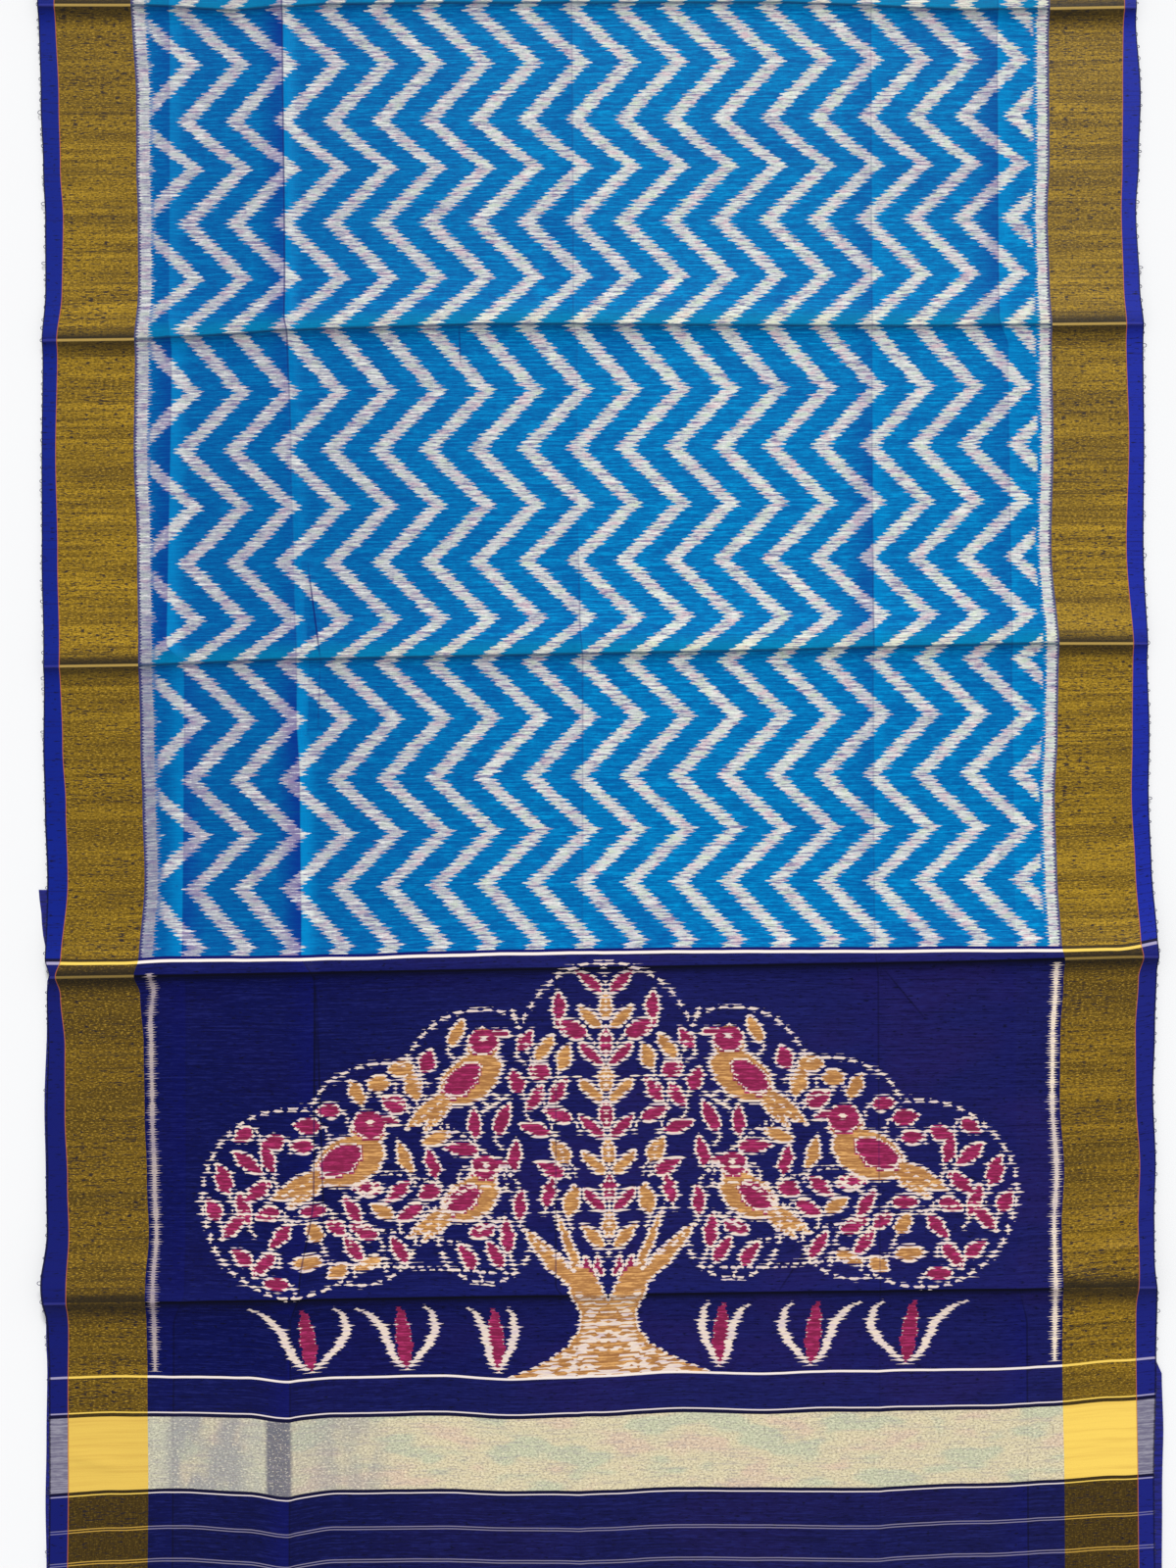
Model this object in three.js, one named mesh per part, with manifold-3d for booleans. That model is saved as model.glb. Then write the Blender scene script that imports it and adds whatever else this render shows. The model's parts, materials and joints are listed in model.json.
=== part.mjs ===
// A handwoven silk saree laid out flat, in one uncut length of cloth.
// Its decorated end and part of its body lie on top, and the rest of the length is folded back beneath.
// Millimetres. +X runs to the right across the cloth, +Y from the loose end to the far fold, +Z up.
import * as THREE from 'three';
import { mergeVertices } from 'three/addons/utils/BufferGeometryUtils.js';
import Module from 'manifold-3d';

const wasm = await Module();
wasm.setup();

// Driving dimensions
const wall = 1.2; // the top layer
const layer = 1.5; // each hidden layer
const bite = 0.05; // how far the upper hidden layer sinks into the lower one
const seam = 0.3; // between neighbouring pieces, and between the top layer and what it lies on
const farFold = 1150; // where the top layer turns down
const nearFold = -1150; // where the hidden layers turn
const looseEnd = -1140; // the woven end of the top layer
const pallu = -351; // where the zigzag body meets the dark decorated end
const bands = -792; // where the decorated end meets its cross bands
const lowestEnd = -282; // the inner end of the saree, in the lowest layer
const rampLength = 60; // the step down past that end
const turnRadius = 3.6; // of the far fold, in the middle of the wall
const tail = 15; // what the top layer runs back beneath the fold
const swell = 85; // the length over which the top layer climbs to the fold

// The top layer's two edges and the seams of its selvages and borders, from the far fold to the loose end
const edges = [
  { y: 1150, left: -592, leftSelvage: -574.5, leftBorder: -491.5, rightBorder: 472, rightSelvage: 553.5, right: 571 },
  { y: 1060, left: -592, leftSelvage: -574.5, leftBorder: -491.5, rightBorder: 475, rightSelvage: 554.5, right: 572 },
  { y: 900, left: -590, leftSelvage: -571, leftBorder: -491, rightBorder: 481, rightSelvage: 558, right: 575 },
  { y: 650, left: -592, leftSelvage: -574.5, leftBorder: -493, rightBorder: 482, rightSelvage: 561.5, right: 574 },
  { y: 556, left: -589.5, leftSelvage: -570.5, leftBorder: -488, rightBorder: 482, rightSelvage: 560.5, right: 579.5 },
  { y: 486, left: -586.5, leftSelvage: -568.5, leftBorder: -487.5, rightBorder: 482, rightSelvage: 559.5, right: 577 },
  { y: 430, left: -584, leftSelvage: -565, leftBorder: -485.5, rightBorder: 479.5, rightSelvage: 558, right: 573.5 },
  { y: 350, left: -583, leftSelvage: -565.5, leftBorder: -484.5, rightBorder: 481, rightSelvage: 559.5, right: 576.5 },
  { y: 300, left: -585.5, leftSelvage: -570, leftBorder: -487.5, rightBorder: 483, rightSelvage: 562, right: 580 },
  { y: 188, left: -586, leftSelvage: -571.5, leftBorder: -488.5, rightBorder: 484.5, rightSelvage: 564.5, right: 580.5 },
  { y: 73, left: -585, leftSelvage: -568.5, leftBorder: -484, rightBorder: 481.5, rightSelvage: 561, right: 579 },
  { y: -41, left: -581.5, leftSelvage: -565, leftBorder: -481.5, rightBorder: 488.5, rightSelvage: 567, right: 582 },
  { y: -125, left: -582, leftSelvage: -562, leftBorder: -479.5, rightBorder: 487, rightSelvage: 566, right: 584 },
  { y: -190, left: -580, leftSelvage: -558, leftBorder: -477, rightBorder: 483.5, rightSelvage: 564.5, right: 582.5 },
  { y: -268, left: -576.5, leftSelvage: -555, leftBorder: -474, rightBorder: 485, rightSelvage: 567.5, right: 584.5 },
  { y: -345, left: -577, leftSelvage: -560.5, leftBorder: -478.5, rightBorder: 488, rightSelvage: 571, right: 588.5 },
  { y: -364, left: -571.5, leftSelvage: -565.5, leftBorder: -483, rightBorder: 491.5, rightSelvage: 573.5, right: 589.5 },
  { y: -384, left: -576, leftSelvage: -562, leftBorder: -478, rightBorder: 491, rightSelvage: 570, right: 589 },
  { y: -440, left: -574.5, leftSelvage: -557, leftBorder: -474, rightBorder: 487.5, rightSelvage: 566.5, right: 587 },
  { y: -510, left: -576, leftSelvage: -556.5, leftBorder: -472.5, rightBorder: 486.5, rightSelvage: 566.5, right: 584.5 },
  { y: -584, left: -574.5, leftSelvage: -553, leftBorder: -469.5, rightBorder: 490.5, rightSelvage: 570, right: 586.5 },
  { y: -645, left: -573.5, leftSelvage: -550.5, leftBorder: -466.5, rightBorder: 487, rightSelvage: 567, right: 584 },
  { y: -690, left: -578.5, leftSelvage: -552, leftBorder: -469, rightBorder: 487, rightSelvage: 567, right: 583 },
  { y: -741, left: -573, leftSelvage: -551, leftBorder: -469, rightBorder: 488, rightSelvage: 565, right: 587 },
  { y: -790, left: -571, leftSelvage: -551.5, leftBorder: -468, rightBorder: 487.5, rightSelvage: 565, right: 586 },
  { y: -920, left: -570, leftSelvage: -550.5, leftBorder: -466.5, rightBorder: 489, rightSelvage: 566, right: 582.5 },
  { y: -1150, left: -572, leftSelvage: -552, leftBorder: -467.5, rightBorder: 488, rightSelvage: 566, right: 583 },
];

// How far the hidden layers' edges stand out from the top layer's, or stay inside it
const peeks = [
  { y: 1150, upperLeft: 0, upperRight: 0, lowerLeft: 0, lowerRight: 0 },
  { y: 900, upperLeft: -3, upperRight: -2, lowerLeft: 0, lowerRight: 0 },
  { y: 480, upperLeft: -4, upperRight: -3, lowerLeft: 0, lowerRight: 0 },
  { y: -282, upperLeft: -2, upperRight: -3, lowerLeft: 10, lowerRight: -5 },
  { y: -320, upperLeft: -3, upperRight: -4, lowerLeft: 6, lowerRight: -5 },
  { y: -355, upperLeft: -3, upperRight: -4, lowerLeft: 1, lowerRight: -5 },
  { y: -480, upperLeft: 1, upperRight: -3, lowerLeft: 3, lowerRight: -4 },
  { y: -700, upperLeft: 1, upperRight: -3, lowerLeft: 2, lowerRight: -4 },
  { y: -770, upperLeft: 1, upperRight: -2, lowerLeft: 3, lowerRight: -3 },
  { y: -790, upperLeft: 1, upperRight: 6, lowerLeft: 3, lowerRight: 2 },
  { y: -860, upperLeft: 2, upperRight: 9, lowerLeft: 4, lowerRight: 5 },
  { y: -920, upperLeft: 3, upperRight: 9, lowerLeft: 5, lowerRight: 5 },
  { y: -1000, upperLeft: 1, upperRight: 8, lowerLeft: 3, lowerRight: 5 },
  { y: -1150, upperLeft: 1, upperRight: 7, lowerLeft: 3, lowerRight: 5 },
];

// Sharp ridges where the saree was folded across: height, how far each side falls away,
// and the course, which gives how far along the cloth the ridge strays at some places across it
const crossCreases = [
  { y: 980, height: 4, above: 34, below: 9, course: [[-600, -2.4], [600, 2.4]] },
  {
    y: 652, height: 5, above: 30, below: 8,
    course: [[-590, 1], [-480, 1], [-385, -4], [-290, 3], [-160, 5], [200, 5], [400, -4], [560, -1]],
  },
  {
    y: 310, height: 5.5, above: 32, below: 8,
    course: [[-590, -14], [-490, -13], [-420, -9.5], [-300, -2.5], [-110, 3], [330, 1.5], [560, 4]],
  },
  {
    y: -37, height: 5, above: 32, below: 8,
    course: [[-590, -12.5], [-470, -10.5], [-340, -5], [-110, -0.5], [140, 4], [450, 12], [560, 12]],
  },
  { y: -366, height: 6.5, above: 30, below: 7, course: [[-590, -10], [-400, -6.5], [383, 7], [560, 12]] },
  { y: -706, height: 7.5, above: 52, below: 11, course: [[-600, -8.8], [600, 8.8]] },
  { y: -1062, height: 4.5, above: 34, below: 9, course: [[-600, -7.2], [600, 7.2]] },
];

// Woven lines across the cloth, which aren't quite straight either
const wovenLines = [
  { y: 1080, course: [[0, 0]] },
  { y: pallu, course: [[-600, -11], [-440, -8], [-90, -1], [406, 2.5], [545, 4], [600, 8]] },
  { y: bands, course: [[-600, -3], [-91, -2], [90, 3], [406, 7], [545, 16], [600, 20]] },
  { y: looseEnd, course: [[-600, -3.6], [600, 3.6]] },
];
const guides = [...crossCreases, ...wovenLines].sort((a, b) => b.y - a.y);

// Softer ridges where it was folded along its length, placed from the cloth's middle line
const lengthCreases = [
  { across: -457, lean: 0, height: 1.5, left: 18, right: 22 },
  { across: -310, lean: -0.0097, height: 2.8, left: 18, right: 9 },
  { across: -13, lean: 0, height: 1.8, left: 12, right: 14 },
  { across: 292, lean: 0, height: 2, left: 14, right: 12 },
  { across: 442, lean: 0, height: 1.5, left: 20, right: 18 },
];
const roundness = 0.45; // of a ridge's top, as a share of its widths
const unevenness = 0.25; // how much a ridge's height changes along it
const unevenLength = 190; // over what length it changes
const wave = { height: 0.35, across: 130, along: 105 }; // slow hollows between the folds

// Where the mesh is divided
const crossSteps = [-2.6, -0.9, 0, 0.45, 1.1, 2.4]; // in widths of a ridge, below and above its top
const lengthSteps = [-1, 0, 1];
const openStep = 95; // between the folds
const clearOfCreases = 28;
const swellSteps = [0, 0.2, 0.4, 0.6, 0.8, 1];
const turnSteps = 6;
const slabStep = 45;
const rim = 0.5; // rounding of a hidden layer's edge

const blend = (t) => t * t * (3 - 2 * t);
const clamp = (t) => Math.min(1, Math.max(0, t));

// One column of a table at a place between its rows, which run from high y to low y.
function read(table, y, column) {
  const next = table.findIndex((row) => row.y <= y);
  if (next === 0) return table[0][column];
  if (next < 0) return table[table.length - 1][column];
  const [high, low] = [table[next - 1], table[next]];
  return THREE.MathUtils.lerp(low[column], high[column], blend((y - low.y) / (high.y - low.y)));
}

// How far a line across the cloth strays from straight at one place across it.
function courseAt(course, x) {
  const next = course.findIndex(([place]) => place >= x);
  if (next === 0) return course[0][1];
  if (next < 0) return course[course.length - 1][1];
  const [[x0, y0], [x1, y1]] = [course[next - 1], course[next]];
  return THREE.MathUtils.lerp(y0, y1, (x - x0) / (x1 - x0));
}

// The same for any line, from the ones known on each side of it.
function stray(y, x) {
  const next = guides.findIndex((line) => line.y <= y);
  if (next === 0) return courseAt(guides[0].course, x);
  if (next < 0) return courseAt(guides[guides.length - 1].course, x);
  const [high, low] = [guides[next - 1], guides[next]];
  return THREE.MathUtils.lerp(
    courseAt(low.course, x),
    courseAt(high.course, x),
    blend((y - low.y) / (high.y - low.y)),
  );
}

const leftEdge = (y) => read(edges, y, 'left');
const rightEdge = (y) => read(edges, y, 'right');
const middle = (y) => (leftEdge(y) + rightEdge(y)) / 2;

// A ridge with a rounded top and a different fall on each side.
function ridge(distance, before, after) {
  const t = distance < 0 ? distance / before : distance / after;
  return Math.exp(roundness - Math.hypot(t, roundness));
}

const uneven = (place, phase) => 1 + unevenness * Math.sin(place / unevenLength + phase);

// How much the ridges and slow waves raise the top layer.
function lift(x, y) {
  let z = wave.height * (1 + Math.sin(x / wave.across) * Math.cos(y / wave.along));
  for (const crease of crossCreases) {
    const distance = y - crease.y - courseAt(crease.course, x);
    z += crease.height * ridge(distance, crease.below, crease.above) * uneven(x, crease.y);
  }
  for (const crease of lengthCreases) {
    const distance = x - middle(y) - crease.across - crease.lean * y;
    z += crease.height * ridge(distance, crease.left, crease.right) * uneven(y, crease.across);
  }
  return z * (1 - blend(clamp((y - (farFold - swell)) / (swell * 0.7))));
}

// The step down in the hidden layers past the end of the lowest one.
const step = (y) => (layer - bite) * (1 - blend(clamp((y - lowestEnd) / rampLength)));
const hiddenTop = (y) => layer + step(y);

const turnStart = farFold - wall / 2 - turnRadius;
const turnTop = layer / 2 + 2 * turnRadius;

// The middle of the top layer's wall, before its far fold.
function height(x, y) {
  const lying = hiddenTop(y) + seam + wall / 2 + lift(x, y);
  return THREE.MathUtils.lerp(lying, turnTop, blend(clamp((y - (farFold - swell)) / (turnStart - farFold + swell))));
}

const slope = 0.5; // the distance over which a slope is measured

// A point on the top layer's wall: side is 1 on its face and -1 on its back.
function onCloth(column, station, side) {
  const x = columnAt(column, station);
  const rolled = station - turnStart;
  if (rolled <= 0) {
    const y = station + stray(station, x);
    const normal = new THREE.Vector3(
      height(x - slope, y) - height(x + slope, y),
      height(x, y - slope) - height(x, y + slope),
      2 * slope,
    ).setLength((side * wall) / 2);
    return new THREE.Vector3(x, y, height(x, y)).add(normal);
  }
  const angle = Math.min(rolled / turnRadius, Math.PI);
  const radius = turnRadius + (side * wall) / 2;
  const back = Math.max(0, rolled - Math.PI * turnRadius);
  return new THREE.Vector3(
    x,
    turnStart + radius * Math.sin(angle) - back,
    turnTop - turnRadius + radius * Math.cos(angle),
  );
}

// A line of the mesh along the cloth, placed from one of its seams, between two of them or from the middle.
function columnAt(column, y) {
  if ('from' in column) return read(edges, y, column.from) + column.gap;
  if ('between' in column) return (read(edges, y, column.between[0]) + read(edges, y, column.between[1])) / 2;
  return middle(y) + column.across + column.lean * y;
}

// The lines of the mesh across the cloth, closer together on the folds.
function stationsBetween(from, to) {
  const onCreases = crossCreases.flatMap((crease) =>
    crossSteps.map((k) => crease.y + k * (k < 0 ? crease.below : crease.above)),
  );
  const onRamp = [0, 0.25, 0.5, 0.75, 1].map((t) => lowestEnd + t * rampLength);
  const onSwell = swellSteps.map((t) => THREE.MathUtils.lerp(farFold - swell, turnStart, t));
  const fixed = [...onCreases, ...onRamp, ...onSwell];
  const open = [];
  for (let y = nearFold; y < farFold - swell; y += openStep) {
    if (fixed.every((place) => Math.abs(place - y) > clearOfCreases)) open.push(y);
  }
  const inside = [...fixed, ...open].filter((y) => y > from + 3 && y < to - 3);
  return [from, ...inside.sort((a, b) => a - b), to];
}

// The lines of the far fold, past the last flat one.
function stationsOfTurn() {
  const lines = [];
  for (let i = 0; i <= turnSteps; i++) lines.push(turnStart + (i / turnSteps) * Math.PI * turnRadius);
  lines.push(turnStart + Math.PI * turnRadius + tail);
  return lines;
}

// A wall of cloth over the given lines of the mesh.
function sheet(columns, stations) {
  const geometry = new THREE.BoxGeometry(1, 1, 1, columns.length - 1, stations.length - 1, 1);
  const points = geometry.attributes.position;
  for (let i = 0; i < points.count; i++) {
    const column = columns[Math.round((points.getX(i) + 0.5) * (columns.length - 1))];
    const station = stations[Math.round((points.getY(i) + 0.5) * (stations.length - 1))];
    const point = onCloth(column, station, Math.sign(points.getZ(i)));
    points.setXYZ(i, point.x, point.y, point.z);
  }
  geometry.computeVertexNormals();
  return geometry;
}

// One hidden layer: a slab with rounded rims between two edges, its underside and top given by height.
function slab({ from, to, left, right, under, over }) {
  const across = [0, 0.02, 0.98, 1];
  const count = Math.ceil((to - from) / slabStep);
  const geometry = new THREE.BoxGeometry(1, 1, 1, across.length - 1, count, 2);
  const points = geometry.attributes.position;
  for (let i = 0; i < points.count; i++) {
    const u = across[Math.round((points.getX(i) + 0.5) * (across.length - 1))];
    const v = points.getY(i) + 0.5;
    const w = points.getZ(i) + 0.5;
    const inset = Math.abs(w - 0.5) > 0.25 ? rim : 0;
    const y = THREE.MathUtils.lerp(from + inset, to - inset, v);
    const x = THREE.MathUtils.lerp(left(y) + inset, right(y) - inset, u);
    points.setXYZ(i, x, y, THREE.MathUtils.lerp(under(y), over(y), w));
  }
  return geometry;
}

// A closed geometry as a solid that can be joined.
function solidOf(geometry) {
  geometry.deleteAttribute('normal');
  geometry.deleteAttribute('uv');
  const merged = mergeVertices(geometry, 1e-4);
  return new wasm.Manifold(
    new wasm.Mesh({
      numProp: 3,
      vertProperties: merged.attributes.position.array,
      triVerts: new Uint32Array(merged.index.array),
    }),
  );
}

function geometryOf(solid) {
  const mesh = solid.getMesh();
  const geometry = new THREE.BufferGeometry();
  geometry.setAttribute('position', new THREE.BufferAttribute(mesh.vertProperties, 3));
  geometry.setIndex(new THREE.BufferAttribute(mesh.triVerts, 1));
  geometry.computeVertexNormals();
  return geometry;
}

// The two hidden layers and the near fold that joins them, as one solid with layered edges.
function hiddenLayers() {
  const foldRadius = (2 * layer - bite) / 2;
  const foldMiddle = nearFold + foldRadius;
  const sunk = lowestEnd - 14; // inside the lowest layer, where the upper one comes down to the floor
  const lower = slab({
    from: foldMiddle,
    to: lowestEnd,
    left: (y) => leftEdge(y) - read(peeks, y, 'lowerLeft'),
    right: (y) => rightEdge(y) + read(peeks, y, 'lowerRight'),
    under: () => 0,
    over: () => layer,
  });
  const upperLeft = (y) => leftEdge(y) - read(peeks, y, 'upperLeft');
  const upperRight = (y) => rightEdge(y) + read(peeks, y, 'upperRight');
  const onLower = slab({
    from: foldMiddle,
    to: sunk,
    left: upperLeft,
    right: upperRight,
    under: () => layer - bite,
    over: hiddenTop,
  });
  const onFloor = slab({
    from: sunk - 2 * rim,
    to: turnStart - tail - seam,
    left: upperLeft,
    right: upperRight,
    under: () => 0,
    over: hiddenTop,
  });
  const [foldLeft, foldRight] = [upperLeft(nearFold) + rim, upperRight(nearFold) - rim];
  const fold = new THREE.CylinderGeometry(foldRadius, foldRadius, foldRight - foldLeft, 12)
    .rotateZ(Math.PI / 2)
    .rotateX(Math.PI / 2)
    .translate((foldLeft + foldRight) / 2, foldMiddle, foldRadius);
  return geometryOf([onLower, onFloor, fold].map(solidOf).reduce((a, b) => a.add(b), solidOf(lower)));
}

const blueSelvage = new THREE.MeshStandardMaterial({ color: 0x2f2ca8, roughness: 0.55, metalness: 0 });
const goldBorder = new THREE.MeshStandardMaterial({ color: 0x9c8136, roughness: 0.5, metalness: 0.1 });
const azureBody = new THREE.MeshStandardMaterial({ color: 0x1a78c2, roughness: 0.5, metalness: 0 });
const navyPallu = new THREE.MeshStandardMaterial({ color: 0x1d1c5c, roughness: 0.55, metalness: 0 });
const creamBands = new THREE.MeshStandardMaterial({ color: 0xb5ad98, roughness: 0.55, metalness: 0 });
const navyLayers = new THREE.MeshStandardMaterial({ color: 0x22205a, roughness: 0.6, metalness: 0 });

const saree = new THREE.Group();

function add(name, geometry, material) {
  const mesh = new THREE.Mesh(geometry, material);
  mesh.name = name;
  saree.add(mesh);
}

// The field between the borders, divided on the folds that run along it
const fieldColumns = [
  { from: 'leftBorder', gap: seam / 2 },
  ...lengthCreases.flatMap((crease) =>
    lengthSteps.map((k) => ({
      across: crease.across + k * (k < 0 ? crease.left : crease.right),
      lean: crease.lean,
    })),
  ),
  { from: 'rightBorder', gap: -seam / 2 },
];
const toFold = [...stationsBetween(pallu + seam / 2, turnStart).slice(0, -1), ...stationsOfTurn()];
const wholeLength = [...stationsBetween(looseEnd, turnStart).slice(0, -1), ...stationsOfTurn()];

add('body_field', sheet(fieldColumns, toFold), azureBody);
add('pallu_field', sheet(fieldColumns, stationsBetween(bands + seam / 2, pallu - seam / 2)), navyPallu);
add('end_bands', sheet(fieldColumns, stationsBetween(looseEnd, bands - seam / 2)), creamBands);

for (const side of ['left', 'right']) {
  const inward = side === 'left' ? 1 : -1;
  const selvageSeam = `${side}Selvage`;
  const borderSeam = `${side}Border`;
  const inOrder = (columns) => (side === 'left' ? columns : columns.reverse());
  const borderLines = inOrder([
    { from: selvageSeam, gap: (inward * seam) / 2 },
    { between: [selvageSeam, borderSeam] },
    { from: borderSeam, gap: (-inward * seam) / 2 },
  ]);
  const selvageLines = inOrder([
    { from: side, gap: 0 },
    { from: selvageSeam, gap: (-inward * seam) / 2 },
  ]);
  add(`border_${side}`, sheet(borderLines, wholeLength), goldBorder);
  add(`selvage_${side}`, sheet(selvageLines, wholeLength), blueSelvage);
}

add('hidden_layers', hiddenLayers(), navyLayers);

export default saree;
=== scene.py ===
import json
import math

import bmesh
import bpy
import numpy as np
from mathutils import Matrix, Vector

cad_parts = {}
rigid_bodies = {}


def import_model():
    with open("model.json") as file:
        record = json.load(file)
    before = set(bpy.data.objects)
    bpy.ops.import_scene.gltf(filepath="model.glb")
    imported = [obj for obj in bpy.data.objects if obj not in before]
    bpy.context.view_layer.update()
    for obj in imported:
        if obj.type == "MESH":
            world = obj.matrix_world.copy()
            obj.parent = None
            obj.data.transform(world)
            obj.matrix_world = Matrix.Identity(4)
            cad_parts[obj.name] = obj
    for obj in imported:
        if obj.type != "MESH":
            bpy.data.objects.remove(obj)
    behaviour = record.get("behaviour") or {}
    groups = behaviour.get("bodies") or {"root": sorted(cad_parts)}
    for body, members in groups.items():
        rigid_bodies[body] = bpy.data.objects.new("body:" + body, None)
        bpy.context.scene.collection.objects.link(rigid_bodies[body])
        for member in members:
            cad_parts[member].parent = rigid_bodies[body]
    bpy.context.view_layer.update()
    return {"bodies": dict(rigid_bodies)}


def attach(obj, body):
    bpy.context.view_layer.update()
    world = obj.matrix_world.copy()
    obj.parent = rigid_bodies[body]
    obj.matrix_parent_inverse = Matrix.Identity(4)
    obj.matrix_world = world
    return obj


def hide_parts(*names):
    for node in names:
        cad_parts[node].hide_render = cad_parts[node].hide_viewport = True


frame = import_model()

mm = 0.001
scene = bpy.context.scene
bodyName = next(iter(frame["bodies"]))


# The cloth's own measures, in millimetres. u runs across it from the left edge, s along it
cloth = {
    "width": 1163, "selvage": 17.5, "border": 83,
    "farFold": 1150, "nearFold": -1150, "looseEnd": -1140,
    "pallu": -351, "bands": -792, "lowestEnd": -282, "rampLength": 60,
    "wall": 1.2, "layer": 1.5, "bite": 0.05, "seam": 0.3,
    "turnRadius": 3.6, "tail": 15, "swell": 85,
    "silk": 0.6,  # what one visible layer measures here, loft and all
}
fieldStart = cloth["selvage"] + cloth["border"]
palluLength = cloth["pallu"] - cloth["bands"]
palluRows = 101
rowHeight = palluLength / palluRows
fieldEnd = cloth["width"] - fieldStart
turnStart = cloth["farFold"] - cloth["wall"] / 2 - cloth["turnRadius"]
turnTop = cloth["layer"] / 2 + 2 * cloth["turnRadius"]
turnEnd = turnStart + math.pi * cloth["turnRadius"] + cloth["tail"]

seamNames = ("y", "left", "leftSelvage", "leftBorder", "rightBorder", "rightSelvage", "right")
edges = [dict(zip(seamNames, row)) for row in (  # where the edges and the seams lie
    (-1150, -572, -552, -467.5, 488, 566, 583),
    (-920, -570, -550.5, -466.5, 489, 566, 582.5),
    (-790, -571, -551.5, -468, 487.5, 565, 586),
    (-741, -573, -551, -469, 488, 565, 587),
    (-690, -578.5, -552, -469, 487, 567, 583),
    (-645, -573.5, -550.5, -466.5, 487, 567, 584),
    (-584, -574.5, -553, -469.5, 490.5, 570, 586.5),
    (-510, -576, -556.5, -472.5, 486.5, 566.5, 584.5),
    (-440, -574.5, -557, -474, 487.5, 566.5, 587),
    (-384, -576, -562, -478, 491, 570, 589),
    (-364, -571.5, -565.5, -483, 491.5, 573.5, 589.5),
    (-345, -577, -560.5, -478.5, 488, 571, 588.5),
    (-268, -576.5, -555, -474, 485, 567.5, 584.5),
    (-190, -580, -558, -477, 483.5, 564.5, 582.5),
    (-125, -582, -562, -479.5, 487, 566, 584),
    (-41, -581.5, -565, -481.5, 488.5, 567, 582),
    (73, -585, -568.5, -484, 481.5, 561, 579),
    (188, -586, -571.5, -488.5, 484.5, 564.5, 580.5),
    (300, -585.5, -570, -487.5, 483, 562, 580),
    (350, -583, -565.5, -484.5, 481, 559.5, 576.5),
    (430, -584, -565, -485.5, 479.5, 558, 573.5),
    (486, -586.5, -568.5, -487.5, 482, 559.5, 577),
    (556, -589.5, -570.5, -488, 482, 560.5, 579.5),
    (650, -592, -574.5, -493, 482, 561.5, 574),
    (900, -590, -571, -491, 481, 558, 575),
    (1060, -592, -574.5, -491.5, 475, 554.5, 572),
    (1150, -592, -574.5, -491.5, 472, 553.5, 571),
)]
peeks = [  # how far the layers beneath stand out past those
    {"y": -1150, "upperLeft": 1, "upperRight": 7, "lowerLeft": 3, "lowerRight": 5},
    {"y": -1000, "upperLeft": 1, "upperRight": 8, "lowerLeft": 3, "lowerRight": 5},
    {"y": -920, "upperLeft": 3, "upperRight": 9, "lowerLeft": 5, "lowerRight": 5},
    {"y": -860, "upperLeft": 2, "upperRight": 9, "lowerLeft": 4, "lowerRight": 5},
    {"y": -790, "upperLeft": 1, "upperRight": 6, "lowerLeft": 3, "lowerRight": 2},
    {"y": -770, "upperLeft": 1, "upperRight": -2, "lowerLeft": 3, "lowerRight": -3},
    {"y": -700, "upperLeft": 1, "upperRight": -3, "lowerLeft": 2, "lowerRight": -4},
    {"y": -480, "upperLeft": 1, "upperRight": -3, "lowerLeft": 3, "lowerRight": -4},
    {"y": -355, "upperLeft": -3, "upperRight": -4, "lowerLeft": 1, "lowerRight": -5},
    {"y": -320, "upperLeft": -3, "upperRight": -4, "lowerLeft": 6, "lowerRight": -5},
    {"y": -282, "upperLeft": -2, "upperRight": -3, "lowerLeft": 10, "lowerRight": -5},
    {"y": 480, "upperLeft": -4, "upperRight": -3, "lowerLeft": 0, "lowerRight": 0},
    {"y": 900, "upperLeft": -3, "upperRight": -2, "lowerLeft": 0, "lowerRight": 0},
    {"y": 1150, "upperLeft": 0, "upperRight": 0, "lowerLeft": 0, "lowerRight": 0},
]
weftBow = [  # how far one pick of weft strays from straight at three places along the cloth
    {"x": -600, "pallu": -11, "bands": -3, "pins": -6}, {"x": -500, "pallu": -11, "bands": 0, "pins": 0},
    {"x": -440, "pallu": -8, "bands": -0.5, "pins": 3},
    {"x": -365, "pallu": -7.5, "bands": -1.5, "pins": -1},
    {"x": -323, "pallu": -7, "bands": -5, "pins": -5.5}, {"x": -270, "pallu": -6, "bands": -1.5, "pins": 1},
    {"x": -158, "pallu": -3, "bands": 0.5, "pins": 2}, {"x": -91, "pallu": -1, "bands": -3.5, "pins": 0},
    {"x": 0, "pallu": 0, "bands": 0, "pins": 0}, {"x": 90, "pallu": 1, "bands": 4.5, "pins": 3.5},
    {"x": 173, "pallu": 1.5, "bands": 2.5, "pins": 3}, {"x": 256, "pallu": 1.5, "bands": 5.5, "pins": 2},
    {"x": 406, "pallu": 2.5, "bands": 7, "pins": 7.5}, {"x": 470, "pallu": 2.5, "bands": 10, "pins": 11},
    {"x": 545, "pallu": 4, "bands": 16, "pins": 15}, {"x": 600, "pallu": 12, "bands": 20, "pins": 18},
]
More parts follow.
